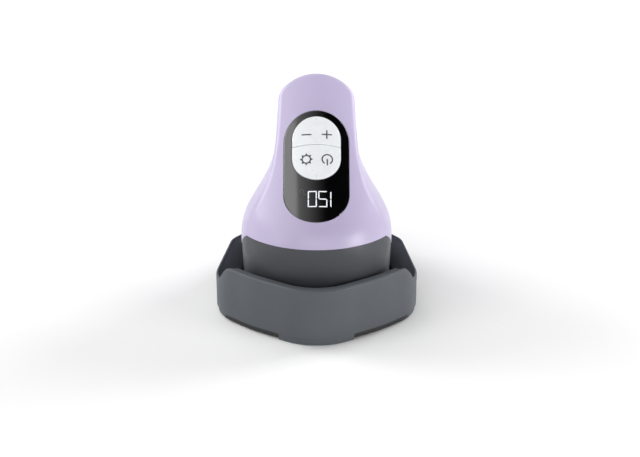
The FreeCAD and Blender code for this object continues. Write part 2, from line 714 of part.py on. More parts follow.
relay = block("relay", -4.0, FRONT + 48.0, board_top, 8.0, FRONT + 66.0, board_top + 11.0)
keep(relay, "relay")
can = rod("capacitor", Vec(-10.5, FRONT + 60.0, board_top), Vec(0, 0, 1), 4.5, 11.0)
keep(can, "capacitor")
strip = block("terminal_body", -15.0, FRONT + 76.0, board_top, 15.0, FRONT + 84.0, board_top + 8.0)
strip_wells = [rod("terminal_well_%d" % i, Vec(x, FRONT + 80.0, board_top + 5.0), Vec(0, 0, 1), 1.8, 5.0)
               for i, x in enumerate((-11.0, -3.7, 3.7, 11.0))]
keep(without("terminal_block", strip, joined("terminal_wells", strip_wells)), "terminal_block")

leads = []
for i, (x, y) in enumerate(LEADS):
    side = -1 if x < 0 else 1
    inward = Vec(-side, 0, 0)
    radius = 1.4
    a = Vec(x, FRONT + 82.0, element_z)
    b = Vec(x, FRONT + 84.3, element_z)
    c = Vec(x, FRONT + y, element_z + 4.0)
    d = Vec(x, FRONT + y, board_top + 0.0)
    e = Vec(x - side * 4.0, FRONT + y, board_top + 4.0)
    f = Vec(x - side * 5.0, FRONT + y, board_top + 4.0)
    low_arc = Part.Arc(b, b + Vec(0, 4 * math.sin(math.pi / 4), 4 - 4 * math.cos(math.pi / 4)), c)
    high_arc = Part.Arc(d, d + Vec(-side * 4 * (1 - math.cos(math.pi / 4)), 0, 4 * math.sin(math.pi / 4)), e)
    path = Part.Wire([Part.makeLine(a, b), low_arc.toShape(), Part.makeLine(c, d), high_arc.toShape(),
                      Part.makeLine(e, f)])
    ring_wire = Part.Wire([Part.makeCircle(radius, a, Vec(0, 1, 0))])
    leads.append(path.makePipeShell([ring_wire], True, False))
    corner = Vec(x - side * 5.0, FRONT + 84.0, board_top + 4.0)
    leads[-1] = leads[-1].fuse(Part.makeCylinder(radius, y - 84.0, corner, Vec(0, 1, 0)))
    leads[-1] = leads[-1].fuse(Part.makeSphere(radius, f))
keep(feature("heater_leads", Part.makeCompound(leads)), "heater_leads")

# ---------------------------------------------------------------- panel electronics
ctrl_w = size("control_board_width") / 2
depth = size("control_board_depth")
ctrl_curves = rounded(bar(-ctrl_w, 9.0, ctrl_w, 9.0 + size("control_board_length"), 2.0))
control_board = padded("control_board", ctrl_curves, "-sizes.control_board_depth", "sizes.board_thick", FACET_PLACE)
keep(control_board, "control_board")
face_n = -depth + size("board_thick")

display = block("display_module", -9.5, 11.5, face_n, 9.5, 25.5, -5.2, FACET_PLACE)
keep(display, "display_module")

KEYS = [(-6.2, 37.0), (6.2, 37.0), (-6.2, 53.0), (6.2, 53.0)]
switches = []
for i, (x, y) in enumerate(KEYS):
    base = block("switch_base_%d" % i, x - 2.5, y - 2.5, face_n, x + 2.5, y + 2.5, face_n + 2.0, FACET_PLACE)
    stem = rod("switch_stem_%d" % i, Vec(x, y, face_n + 2.0), Vec(0, 0, 1), 1.2, 0.8, FACET_PLACE)
    switches.append(joined("switch_%d" % i, [base, stem]))
switch_set = doc.addObject("Part::Compound", "tact_switches")
switch_set.Links = switches
keep(switch_set, "tact_switches")

# The carrier holds the pivots of the two rocking keys above the board.
carrier = block("carrier_plate", -12.6, 27.2, -8.4, 12.6, 61.0, -7.4, FACET_PLACE)
pillars = []
for i, y in enumerate((29.4, 43.2, 48.2, 58.6)):
    pillars.append(block("carrier_pillar_%d" % i, -2.6, y - 0.7, -7.5, 2.6, y + 0.7, -5.4, FACET_PLACE))
for i, (x, y) in enumerate(((-11.6, 30.0), (11.6, 30.0), (-11.6, 58.0), (11.6, 58.0))):
    pillars.append(rod("carrier_leg_%d" % i, Vec(x, y, face_n), Vec(0, 0, 1), 1.0, -8.3 - face_n, FACET_PLACE))
windows = [rod("carrier_window_%d" % i, Vec(x, y, -10), Vec(0, 0, 1), 2.6, 5, FACET_PLACE)
           for i, (x, y) in enumerate(KEYS)]
cradle = rod("carrier_cradle", Vec(0, 20, -size("pivot_depth")), Vec(0, 1, 0), size("pivot_radius") + 0.05,
             50, FACET_PLACE)
keep(without("key_carrier", joined("carrier_body", [carrier] + pillars), joined("carrier_room", windows + [cradle])),
     "key_carrier")

# Lens, seal and rocking keys follow the curved front of the press.
gap = size("key_gap")
half_key = size("key_half_width")
lens_slot = facet_prism(stadium(size("lens_half_width"), size("lens_start"), size("lens_end")), -14.0, 8.0)
key_room = facet_prism(stadium(half_key + 0.35, size("key_start") - 0.35, size("key_end") + 0.35), -14.0, 8.0)
lens = outer_form.common(lens_slot).cut(inner_form).cut(key_room)
keep(feature("panel_lens", lens), "panel_lens")
seal_outer = facet_prism(stadium(size("lens_half_width") + 1.3, size("lens_start") - 1.3, size("lens_end") + 1.3),
                         -14.0, 8.0)
seal_inner = facet_prism(stadium(size("lens_half_width") - 1.3, size("lens_start") + 1.3, size("lens_end") - 1.3),
                         -14.0, 8.0)
seal = form(wall + 0.02).common(seal_outer).cut(seal_inner).cut(form(wall + 0.8))
keep(feature("lens_seal", seal), "lens_seal")

key_top = form(-size("key_proud"))
key_under = form(2.0)
key_slot = facet_prism(stadium(half_key, size("key_start"), size("key_end")), -14.0, 8.0)
pivot_n = -size("pivot_depth")
split = size("key_split")
for label, low, high, switch_y, pin_ends in (
        ("rocker_mode", size("key_start") - 1, split - gap, 37.0, (28.9, 43.7)),
        ("rocker_adjust", split + gap, size("key_end") + 1, 53.0, (47.7, 59.1))):
    window = Part.makeBox(40, high - low, 40)
    window.Placement = FACET_PLACE * FreeCAD.Placement(Vec(-20, low, -20), FreeCAD.Rotation())
    cap = key_top.common(key_slot).common(window).cut(key_under)
    web = Part.makeBox(1.6, pin_ends[1] - pin_ends[0] - 4.4, 4.8)
    web.Placement = FACET_PLACE * FreeCAD.Placement(Vec(-0.8, pin_ends[0] + 2.2, pivot_n), FreeCAD.Rotation())
    pin = Part.makeCylinder(size("pivot_radius"), pin_ends[1] - pin_ends[0])
    pin.Placement = FACET_PLACE * FreeCAD.Placement(Vec(0, pin_ends[0], pivot_n),
                                                    FreeCAD.Rotation(Vec(0, 0, 1), Vec(0, 1, 0)))
    key = cap.fuse(web).fuse(pin)
    for x in (-6.2, 6.2):
        leg_low = face_n + 3.25
        leg = Part.makeCylinder(1.5, -2.2 - leg_low)
        leg.Placement = FACET_PLACE * FreeCAD.Placement(Vec(x, switch_y, leg_low), FreeCAD.Rotation())
        key = key.fuse(leg)
    keep(feature(label, key.removeSplitter()), label)

board_screws = []
for i, (x, y) in enumerate(board_posts):
    shank = rod("board_screw_shank_%d" % i, Vec(x, FRONT + y, chassis_top - 1.5), Vec(0, 0, 1), 1.0,
                board_top - chassis_top + 1.5)
    head = rod("board_screw_head_%d" % i, Vec(x, FRONT + y, board_top), Vec(0, 0, 1), 2.0, 1.4)
    board_screws.append(joined("board_screw_%d" % i, [shank, head]))
board_screw_set = doc.addObject("Part::Compound", "board_screws")
board_screw_set.Links = board_screws
keep(board_screw_set, "board_screws")

# Flat cable from the lower end of the control board to the front of the power board.
end_low = FACET_PLACE.multVec(Vec(0, 12.0, -depth))
cable_points = [
    (end_low.y, end_low.z),
    (end_low.y + 4.0, end_low.z - 6.0),
    (FRONT + 46.0, board_top + 3.0),
    (FRONT + 46.0, board_top),
]
thick = 0.7
cable_line = [Vec(-5.0, y, z) for y, z in cable_points]
cable_line += [Vec(-5.0, y + thick, z) for y, z in reversed(cable_points)]
cable_face = Part.Face(Part.makePolygon(cable_line + [cable_line[0]]))
keep(feature("ribbon_cable", cable_face.extrude(Vec(10.0, 0, 0))), "ribbon_cable")

# ---------------------------------------------------------------- cord inlet
inlet_y = FRONT + 98.0
outer_rod = rod("grommet_barrel", Vec(0, inlet_y, size("inlet_z")), Vec(0, 1, 0), size("inlet_outer") - 0.02,
                size("inlet_length"))
lip = rod("grommet_lip", Vec(0, inlet_y - 1.6, size("inlet_z")), Vec(0, 1, 0), size("inlet_outer") + 1.6, 1.6)
inlet_hole = rod("grommet_hole", Vec(0, inlet_y - 5, size("inlet_z")), Vec(0, 1, 0), size("inlet_radius"), 30)
bind(inlet_hole, Radius="sizes.inlet_radius")
keep(without("cord_grommet", joined("grommet_body", [outer_rod, lip]), inlet_hole), "cord_grommet")

clamp_bar = block("cord_clamp_bar", -9.0, FRONT + 89.5, chassis_top, 9.0, FRONT + 95.0, size("inlet_z") + 5.5)
clamp_hole = rod("cord_clamp_hole", Vec(0, FRONT + 88.0, size("inlet_z")), Vec(0, 1, 0), size("inlet_radius"), 10)
bind(clamp_hole, Radius="sizes.inlet_radius")
clamp_post = rod("cord_clamp_screw_room", Vec(0, FRONT + 94.0, chassis_top - 1), Vec(0, 0, 1), 3.1, 3.4)
keep(without("cord_clamp", clamp_bar, joined("cord_clamp_room", [clamp_hole, clamp_post])), "cord_clamp")

# ---------------------------------------------------------------- checks and export
doc.recompute()
for obj in doc.Objects:
    if "Invalid" in obj.State or "Error" in obj.State:
        raise RuntimeError("failed object: " + obj.Label)
for obj in parts:
    if obj.Shape.isNull() or not obj.Shape.isValid() or obj.Shape.Volume <= 0:
        raise RuntimeError("bad shape: " + obj.Label)
os.makedirs("parts", exist_ok=True)
for obj in parts:
    obj.Shape.exportStep("parts/%s.step" % obj.Label)
    print("%-20s %2d solids  %9.1f mm3" % (obj.Label, len(obj.Shape.Solids), obj.Shape.Volume))
print(len(parts), "nodes")
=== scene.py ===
import json
import math

import bmesh
import bpy
import numpy as np
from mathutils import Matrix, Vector


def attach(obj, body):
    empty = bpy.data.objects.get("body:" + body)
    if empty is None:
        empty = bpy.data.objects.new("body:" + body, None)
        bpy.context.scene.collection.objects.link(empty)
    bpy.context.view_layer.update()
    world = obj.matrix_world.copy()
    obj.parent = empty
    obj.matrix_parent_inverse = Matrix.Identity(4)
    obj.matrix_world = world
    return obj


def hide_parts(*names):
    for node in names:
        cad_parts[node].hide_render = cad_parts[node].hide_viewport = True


# Mini heat press in its safety dock. Lengths are worked out in millimetres in the frame of
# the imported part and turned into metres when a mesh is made.

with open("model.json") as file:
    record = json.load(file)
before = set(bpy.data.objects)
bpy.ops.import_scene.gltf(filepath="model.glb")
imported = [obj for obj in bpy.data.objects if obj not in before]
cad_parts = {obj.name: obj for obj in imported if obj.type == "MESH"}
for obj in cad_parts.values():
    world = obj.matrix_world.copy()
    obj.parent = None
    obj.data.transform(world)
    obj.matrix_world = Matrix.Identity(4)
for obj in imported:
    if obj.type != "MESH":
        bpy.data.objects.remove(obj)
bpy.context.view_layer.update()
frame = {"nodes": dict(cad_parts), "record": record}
MM = 0.001

# ---- sizes of the body
FRONT = -57.0
SLOPE = math.radians(43.5)
UPHILL = np.array([0.0, math.cos(SLOPE), math.sin(SLOPE)])
OUTWARD = np.array([0.0, -math.sin(SLOPE), math.cos(SLOPE)])
ACROSS = np.array([1.0, 0.0, 0.0])
FACET = np.array([0.0, FRONT + 11.0, 52.0])
FACET_R = 41.0
NOSE_R = 38.1
NOSE_Y = FRONT + 8.5 + NOSE_R
VAULT_R = 22.3
VAULT_TILT = math.radians(30.0)
CREST = FACET + UPHILL * 83.4
VAULT_UP = np.array([0.0, math.sin(VAULT_TILT), math.cos(VAULT_TILT)])
WALL = 2.2
COLLAR_STEP = 0.25

FRONT_EDGE = 6.0
VAULT_EDGE = 1.8
CREASE_Z = [20.0, 45.0, 60.0, 80.0, 100.0]
CREASE_R = [0.8, 1.0, 1.2, 2.0, 2.5]
FAR = 80.0

# Control points of half a section, low down and at the grip, from front to back, and how much
# further up the flare each is read.
BASE_RING = [(0, 3), (10, 3), (24, 9), (34, 24), (37.2, 46), (36, 68), (29, 88), (15, 104.5),
             (0, 104.5)]
GRIP_RING = [(0, 22), (10, 22), (17.6, 29), (19.1, 44), (18.9, 58), (18.2, 76), (16, 92),
             (9, 97.5), (0, 97.5)]
RING_LEAD = [0, 0, 0, 0, 3, 8, 11, 11, 11]
BASE_WIDTH, GRIP_WIDTH = 36.5, 18.8
FLARE_START, FLARE_WIDEST, FLARE_SPAN = 41.0, 36.4, 17.8
FLARE_Z = [8, 20, 36, 41.7, 47.5, 51.7, 56, 60, 65.2, 69, 72.9, 77, 81.5, 88, 97, 140]
FLARE_W = [35.2, 35.8, 36.4, 36.4, 36.0, 34.4, 31.6, 28.9, 25.3, 23.4, 21.7, 20.1, 19.2, 18.8,
           18.7, 18.5]
LEVELS = [8.0, 20.0, 32.0, 40.0, 46.0, 51.0, 56.0, 61.0, 67.0, 74.0, 83.0, 97.0, 122.0]
SEAM_Y = [-20.0, 9.0, 17.0, 30.0, 42.0, 56.0, 70.0, 140.0]
SEAM_Z = [45.5, 45.5, 44.7, 43.1, 33.8, 26.5, 21.5, 21.5]
COLLAR_BOTTOM = 14.5
AXIS_Y = FRONT + 58.0


# ---- the form of the press
def ring_poles(z):
    """Control points of half a section at height z."""
    poles = []
    for (bx, by), (gx, gy), lead in zip(BASE_RING, GRIP_RING, RING_LEAD):
        at = z + lead * min(1.0, max(0.0, (z - 20.0) / 20.0))
        width = np.interp(at, FLARE_Z, FLARE_W)
        share = min(1.0, max(0.0, (FLARE_WIDEST - width) / FLARE_SPAN)) if at > FLARE_START else 0.0
        scale = width / (BASE_WIDTH * (1 - share) + GRIP_WIDTH * share)
        x = (bx * (1 - share) + gx * share) * scale
        poles.append((x, FRONT + by * (1 - share) + gy * share))
    return np.array(poles)


def spline_weights(count, samples):
    """Weights of a clamped cubic B-spline with evenly spaced knots."""
    knots = np.concatenate([[0.0] * 3, np.arange(count - 2), [count - 3.0] * 3])
    at = np.linspace(0.0, count - 3.0 - 1e-9, samples)
    weights = np.zeros((samples, len(knots) - 1))
    for i in range(len(knots) - 1):
        weights[:, i] = (at >= knots[i]) & (at < knots[i + 1])
    for degree in range(1, 4):
        for i in range(len(knots) - 1 - degree):
            left = knots[i + degree] - knots[i]
            right = knots[i + degree + 1] - knots[i + 1]
            first = (at - knots[i]) / left * weights[:, i] if left > 0 else 0.0
            second = (knots[i + degree + 1] - at) / right * weights[:, i + 1] if right > 0 else 0.0
            weights[:, i] = first + second
    return weights[:, :count]


TURN_STEPS = 720


def flank_table():
    """Radius of the flared column about its axis, by height and by turn from the front."""
    nets = np.array([ring_poles(z) for z in LEVELS])
    along = spline_weights(len(LEVELS), 240)
    around = spline_weights(len(BASE_RING), 500)
    heights = along @ np.array(LEVELS)
    sections = np.einsum("vl,lpc->vpc", along, nets)
    curves = np.einsum("up,vpc->vuc", around, sections)
    turns = np.linspace(0.0, math.pi, TURN_STEPS // 2 + 1)
    radii = []
    for curve in curves:
        dy = curve[:, 1] - AXIS_Y
        turn = np.arctan2(curve[:, 0], -dy)
        radii.append(np.interp(turns, turn, np.hypot(curve[:, 0], dy)))
    return heights, np.array(radii)


TABLE_Z, TABLE_R = flank_table()


def flank_radius(turn, z):
    """Read the table at |turn| in 0..pi and height z, between its entries."""
    row = np.interp(z, TABLE_Z, np.arange(len(TABLE_Z)))
    col = np.clip(np.abs(turn) / math.pi, 0, 1) * (TABLE_R.shape[1] - 1)
    r0 = np.clip(row.astype(int), 0, len(TABLE_Z) - 2)
    c0 = np.clip(col.astype(int), 0, TABLE_R.shape[1] - 2)
    fr = row - r0
    fc = col - c0
    low = TABLE_R[r0, c0] * (1 - fc) + TABLE_R[r0, c0 + 1] * fc
    high = TABLE_R[r0 + 1, c0] * (1 - fc) + TABLE_R[r0 + 1, c0 + 1] * fc
    return low * (1 - fr) + high * fr


def soft_max(a, b, k):
    """The greater of two distances, with the edge between them rounded by about k."""
    near = np.maximum(k - np.abs(a - b), 0.0) / k
    return np.maximum(a, b) + near * near * k * 0.25


def body(points):
    """Below zero inside the press, above zero outside; its edges are rounded."""
    x = points[:, 0]
    y = points[:, 1]
    z = points[:, 2]
    dy = y - AXIS_Y
    flank = np.hypot(x, dy) - flank_radius(np.arctan2(x, -dy), z)
    nose = np.hypot(x, np.minimum(y - NOSE_Y, 0.0)) - NOSE_R
    n = (points - FACET) @ OUTWARD
    facet = np.hypot(x, np.maximum(n + FACET_R, 0.0)) - FACET_R
    u = (points - CREST) @ VAULT_UP
    vault = np.where(u > -VAULT_R, np.hypot(x, u + VAULT_R) - VAULT_R, -20.0)
    front = soft_max(nose, facet, FRONT_EDGE)
    sides = soft_max(front, flank, np.interp(z, CREASE_Z, CREASE_R))
    return soft_max(sides, vault, VAULT_EDGE)


def body_normal(points):
    """The direction straight out of the form at each point."""
    step = 0.05
    grad = np.empty_like(points)
    for i in range(3):
        shift = np.zeros(3)
        shift[i] = step
        grad[:, i] = body(points + shift) - body(points - shift)
    return grad / np.linalg.norm(grad, axis=1)[:, None]


def reach_surface(origins, rays, far, level=0.0):
    """Walk each ray out to where it crosses the body's surface, moved outwards by level."""
    low = np.zeros(len(rays))
    high = np.full(len(rays), far)
    for _ in range(30):
        mid = (low + high) / 2
        inside = body(origins + rays * mid[:, None]) < level
        low = np.where(inside, mid, low)
        high = np.where(inside, high, mid)
    return origins + rays * ((low + high) / 2)[:, None]


def spine(z):
    """A line inside the press that the sections are measured from."""
    y = np.interp(z, [0.0, 55.0, 85.0], [FRONT + 57.0, FRONT + 59.0, FRONT + 77.0])
    return np.stack([np.zeros_like(y), y, z], axis=1)


def seam_height(y):
    return np.interp(y - FRONT, SEAM_Y, SEAM_Z)


COLUMNS = 360
CROWN_Z = 85.0
TURNS = np.linspace(0.0, 2 * math.pi, COLUMNS, endpoint=False)
FLAT_RAYS = np.stack([np.sin(TURNS), -np.cos(TURNS), np.zeros(COLUMNS)], axis=1)


def flat_points(z, level=0.0):
    """One surface point in each column, at the height given for that column."""
    return reach_surface(spine(z), FLAT_RAYS, FAR, level)


def seam_points():
    """Height of the seam in each column, which depends on where that column meets the form."""
    z = np.full(COLUMNS, 35.0)
    for _ in range(60):
        z = z * 0.6 + seam_height(flat_points(z)[:, 1]) * 0.4
    return z


SEAM = seam_points()


# ---- mesh helpers
def new_object(name, data):
    obj = bpy.data.objects.new(name, data)
    bpy.context.scene.collection.objects.link(obj)
    return obj


def make_object(name, verts_mm, faces, smooth_deg=35.0):
    """Make a mesh object from millimetre points."""
    mesh = bpy.data.meshes.new(name)
    mesh.from_pydata([tuple(v) for v in np.asarray(verts_mm) * MM], [], faces)
    mesh.update()
    obj = new_object(name, mesh)
    tidy_normals(obj, smooth_deg)
    return obj


def tidy_normals(obj, smooth_deg=35.0):
    """Turn every face outwards and shade it smooth, up to the given angle."""
    mesh = obj.data
    work = bmesh.new()
    work.from_mesh(mesh)
    bmesh.ops.recalc_face_normals(work, faces=work.faces)
    work.to_mesh(mesh)
    work.free()
    mesh.shade_smooth()
    mesh.set_sharp_from_angle(angle=math.radians(smooth_deg))


def grid_faces(rows, cols, closed):
    """Quads of a grid of rows by cols points; closed joins the last column to the first."""
    faces = []
    last = cols if closed else cols - 1
    for r in range(rows - 1):
        for c in range(last):
            a = r * cols + c
            b = r * cols + (c + 1) % cols
            faces.append((a, b, b + cols, a + cols))
    return faces


def apply_modifiers(obj):
    depsgraph = bpy.context.evaluated_depsgraph_get()
    mesh = bpy.data.meshes.new_from_object(obj.evaluated_get(depsgraph))
    obj.modifiers.clear()
    obj.data = mesh


def boolean(obj, tool, operation):
    step = obj.modifiers.new("cut", "BOOLEAN")
    step.object = tool
    step.operation = operation
    step.solver = "EXACT"
    apply_modifiers(obj)


def remove(obj):
    mesh = obj.data
    bpy.data.objects.remove(obj)
    bpy.data.meshes.remove(mesh)


def copy_of(obj, name):
    twin = obj.copy()
    twin.data = obj.data.copy()
    twin.name = name
    bpy.context.scene.collection.objects.link(twin)
    return twin


def follow_body(obj, offset=0.0):
    """Take the normals of the body's own form wherever the mesh lies on it."""
    mesh = obj.data
    mesh.shade_smooth()
    mesh.set_sharp_from_angle(angle=math.radians(35.0))
    co = np.empty(len(mesh.vertices) * 3)
    mesh.vertices.foreach_get("co", co)
    co = co.reshape(-1, 3) / MM
    on_skin = np.abs(body(co) - offset) < 0.06
    normals = body_normal(co)
    loops = np.empty(len(mesh.loops), int)
    mesh.loops.foreach_get("vertex_index", loops)
    custom = np.zeros((len(loops), 3))
    for poly in mesh.polygons:
        span = range(poly.loop_start, poly.loop_start + poly.loop_total)
        ids = loops[poly.loop_start:poly.loop_start + poly.loop_total]
        facing = normals[ids] @ np.array(poly.normal)
        if on_skin[ids].all() and facing.min() > 0.8:
            custom[list(span)] = normals[ids]
    mesh.normals_split_custom_set([tuple(v) for v in custom])


# ---- materials
MATERIALS = {}
RANGE_ENDS = ("From Min", "From Max", "To Min", "To Max")


class Paint:
    """A procedural material, with short ways to add nodes to it."""

    def __init__(self, name):
        self.material = bpy.data.materials.new(name)
        MATERIALS[name] = self.material
        self.material.use_nodes = True
        self.tree = self.material.node_tree
        self.tree.nodes.clear()
        self.out = self.add("ShaderNodeOutputMaterial")
        self.shader = self.add("ShaderNodeBsdfPrincipled")
        self.link(self.shader.outputs["BSDF"], self.out.inputs["Surface"])
        self.coords = self.add("ShaderNodeTexCoord")

    def add(self, kind, **values):
        node = self.tree.nodes.new(kind)
        for key, value in values.items():
            setattr(node, key, value)
        return node

    def link(self, a, b):
        self.tree.links.new(a, b)

    def set(self, **values):
        for key, value in values.items():
            self.shader.inputs[key.replace("_", " ")].default_value = value

    def noise(self, scale, detail=4.0, roughness=0.5, stretch=(1, 1, 1)):
        mapping = self.add("ShaderNodeMapping")
        mapping.inputs["Scale"].default_value = stretch
        self.link(self.coords.outputs["Object"], mapping.inputs["Vector"])
        node = self.add("ShaderNodeTexNoise")
        for key, value in (("Scale", scale), ("Detail", detail), ("Roughness", roughness)):
            node.inputs[key].default_value = value
        self.link(mapping.outputs["Vector"], node.inputs["Vector"])
        return node.outputs["Fac"]

    def ramp(self, source, stops):
        node = self.add("ShaderNodeValToRGB")
        first, last = node.color_ramp.elements
        first.position, first.color = stops[0][0], stops[0][1]
        last.position, last.color = stops[-1][0], stops[-1][1]
        for position, colour in stops[1:-1]:
            node.color_ramp.elements.new(position).color = colour
        self.link(source, node.inputs["Fac"])
        return node.outputs["Color"]

    def between(self, source, low, high, start=0.3, end=0.7):
        node = self.add("ShaderNodeMapRange")
        for key, value in zip(RANGE_ENDS, (start, end, low, high)):
            node.inputs[key].default_value = value
        self.link(source, node.inputs["Value"])
        return node.outputs["Result"]

    def colour(self, source, low, high, start=0.3, end=0.7):
        shade = self.ramp(source, [(start, (*low, 1)), (end, (*high, 1))])
        self.link(shade, self.shader.inputs["Base Color"])

    def rough(self, source, low, high):
        self.link(self.between(source, low, high), self.shader.inputs["Roughness"])

    def bump(self, source, strength, distance):
        node = self.add("ShaderNodeBump")
        node.inputs["Strength"].default_value = strength
        node.inputs["Distance"].default_value = distance
        self.link(source, node.inputs["Height"])
        self.link(node.outputs["Normal"], self.shader.inputs["Normal"])


def moulded(name, low, high, rough_low, rough_high, grain, depth, **sockets):
    """Moulded plastic or rubber: faint cloudy colour, uneven gloss and a fine spark grain."""
    paint = Paint(name)
    paint.set(**sockets)
    cloud = paint.noise(28.0, 3.0)
    paint.colour(cloud, low, high)
    paint.rough(paint.noise(160.0, 3.0), rough_low, rough_high)
    paint.bump(paint.noise(grain, 3.0, 0.6), 0.5, depth)


def painted_shade_toned(name, lit_colour, shaded_colour):
    """Moulded plastic with painted shade: darker low down on the front, where the dock's wall
    shades it.
    """
    paint = Paint(name)
    paint.set(IOR=1.46)
    split = paint.add("ShaderNodeSeparateXYZ")
    paint.link(paint.coords.outputs["Object"], split.inputs["Vector"])
    # painted shade: the colour darkens low down (Z) and towards the front (Y), where the dock's
    # wall shades the band
    low = paint.between(split.outputs["Z"], 1.0, 0.0, 0.024, 0.045)
    ahead = paint.between(split.outputs["Y"], 1.0, 0.0, -0.044, -0.026)
    both = paint.add("ShaderNodeMath", operation="MULTIPLY")
    paint.link(low, both.inputs[0])
    paint.link(ahead, both.inputs[1])
    cloudy = paint.add("ShaderNodeMath", operation="MULTIPLY_ADD")
    paint.link(paint.between(paint.noise(28.0, 3.0), -0.05, 0.05), cloudy.inputs[0])
    cloudy.inputs[1].default_value = 1.0
    paint.link(both.outputs["Value"], cloudy.inputs[2])
    paint.colour(cloudy.outputs["Value"], lit_colour, shaded_colour, 0.0, 1.0)
    paint.rough(paint.noise(160.0, 3.0), 0.46, 0.54)
    paint.bump(paint.noise(2200.0, 3.0, 0.6), 0.5, 0.00003)


def painted_light_toned(name, base, crown):
    """Satin plastic with painted light: a little paler towards the top of the handle, as if lit
    from above.
    """
    paint = Paint(name)
    paint.set(IOR=1.46, Coat_Weight=0.08, Coat_Roughness=0.25, Subsurface_Weight=0.06,
              Subsurface_Radius=(0.004, 0.003, 0.004), Subsurface_Scale=0.5)
    split = paint.add("ShaderNodeSeparateXYZ")
    paint.link(paint.coords.outputs["Object"], split.inputs["Vector"])
    # painted light: the colour grows paler with height, standing in for light falling on the top of
    # the handle
    height = paint.between(split.outputs["Z"], 0.0, 1.0, 0.045, 0.108)
    cloudy = paint.add("ShaderNodeMath", operation="ADD")
    paint.link(height, cloudy.inputs[0])
    paint.link(paint.between(paint.noise(28.0, 3.0), -0.06, 0.06), cloudy.inputs[1])
    paint.colour(cloudy.outputs["Value"], base, crown, 0.0, 1.0)
    paint.rough(paint.noise(160.0, 3.0), 0.36, 0.42)
    paint.bump(paint.noise(2600.0, 3.0, 0.6), 0.5, 0.000012)


def metal(name, low, high, rough_low, rough_high, stretch):
    """Bare metal with streaks drawn out along one axis."""
    paint = Paint(name)
    paint.set(Metallic=1.0)
    streaks = paint.noise(420.0, 4.0, 0.6, stretch)
    paint.colour(streaks, low, high)
    paint.rough(streaks, rough_low, rough_high)
    paint.bump(streaks, 0.4, 0.00002)


# lilac colour with painted light: paler towards the top of the handle
painted_light_toned("lilac_plastic", (0.436, 0.385, 0.548), (0.528, 0.466, 0.664))
moulded("dock_plastic", (0.070, 0.079, 0.090), (0.077, 0.086, 0.098), 0.50, 0.58, 2200.0, 0.00003,
        IOR=1.46)
# collar colour with painted shade: darker low down at the front
painted_shade_toned("collar_plastic", (0.047, 0.050, 0.058), (0.026, 0.027, 0.031))
moulded("dark_plastic", (0.012, 0.012, 0.013), (0.018, 0.018, 0.019), 0.55, 0.65, 1800.0, 0.00003)
moulded("silicone", (0.030, 0.030, 0.034), (0.042, 0.042, 0.046), 0.62, 0.74, 900.0, 0.00003,
        Sheen_Weight=0.15, Sheen_Roughness=0.5)
moulded("rubber", (0.018, 0.018, 0.020), (0.030, 0.030, 0.032), 0.62, 0.74, 900.0, 0.00004)
moulded("lens_black", (0.0010, 0.0009, 0.0013), (0.0014, 0.0012, 0.0018), 0.13, 0.16, 60.0,
        0.0000005, IOR=2.0)
moulded("key_white", (0.80, 0.82, 0.84), (0.82, 0.84, 0.86), 0.24, 0.30, 2600.0, 0.000008, IOR=1.47)
moulded("key_mark", (0.050, 0.055, 0.060), (0.060, 0.065, 0.070), 0.45, 0.55, 1500.0, 0.000005)
moulded("key_tick", (0.52, 0.54, 0.56), (0.55, 0.57, 0.59), 0.35, 0.45, 1500.0, 0.000005)
metal("steel", (0.50, 0.50, 0.52), (0.66, 0.66, 0.68), 0.26, 0.42, (1, 1, 6))
metal("aluminium", (0.70, 0.71, 0.73), (0.84, 0.85, 0.86), 0.20, 0.36, (1, 9, 1))
moulded("ceramic_fibre", (0.60, 0.58, 0.50), (0.80, 0.78, 0.70), 0.85, 0.95, 700.0, 0.0004,
        Sheen_Weight=0.3, Sheen_Roughness=0.6)
moulded("ceramic", (0.74, 0.72, 0.66), (0.82, 0.81, 0.76), 0.45, 0.6, 1500.0, 0.00003)
moulded("chassis_plastic", (0.035, 0.035, 0.038), (0.050, 0.050, 0.054), 0.5, 0.62, 1800.0, 0.00003)
moulded("component_black", (0.015, 0.015, 0.016), (0.028, 0.028, 0.03), 0.35, 0.5, 1200.0, 0.00001)
moulded("relay_blue", (0.03, 0.10, 0.34), (0.04, 0.13, 0.40), 0.3, 0.42, 1200.0, 0.00001)
moulded("terminal_green", (0.02, 0.20, 0.09), (0.03, 0.26, 0.12), 0.35, 0.48, 1200.0, 0.00001)
moulded("lead_sleeve", (0.55, 0.54, 0.50), (0.74, 0.73, 0.69), 0.7, 0.85, 1600.0, 0.0002,
        Sheen_Weight=0.2, Sheen_Roughness=0.5)
moulded("cable_grey", (0.36, 0.37, 0.39), (0.44, 0.45, 0.47), 0.4, 0.55, 1200.0, 0.00001)

paint = Paint("board_green")
paint.set(Coat_Weight=0.5, Coat_Roughness=0.15)
voronoi = paint.add("ShaderNodeTexVoronoi", distance="MANHATTAN")
voronoi.inputs["Scale"].default_value = 260.0
paint.link(paint.coords.outputs["Object"], voronoi.inputs["Vector"])
tracks = voronoi.outputs["Distance"]
paint.colour(tracks, (0.006, 0.075, 0.030), (0.012, 0.135, 0.055), 0.35, 0.55)
paint.rough(tracks, 0.3, 0.45)
paint.bump(tracks, 0.4, 0.00003)


def glowing(name, low, high, strength, rough):
    """A faintly glowing mark of the display, behind the lens."""
    paint = Paint(name)
    shade = paint.ramp(paint.noise(900.0, 2.0), [(0.3, (*low, 1)), (0.7, (*high, 1))])
    paint.link(shade, paint.shader.inputs["Base Color"])
    paint.link(shade, paint.shader.inputs["Emission Color"])
    paint.set(Emission_Strength=strength, Roughness=rough)


glowing("digit_light", (0.80, 0.82, 0.88), (0.88, 0.90, 0.95), 0.24, 0.3)
glowing("degree_light", (0.055, 0.058, 0.06), (0.065, 0.068, 0.07), 0.35, 0.4)

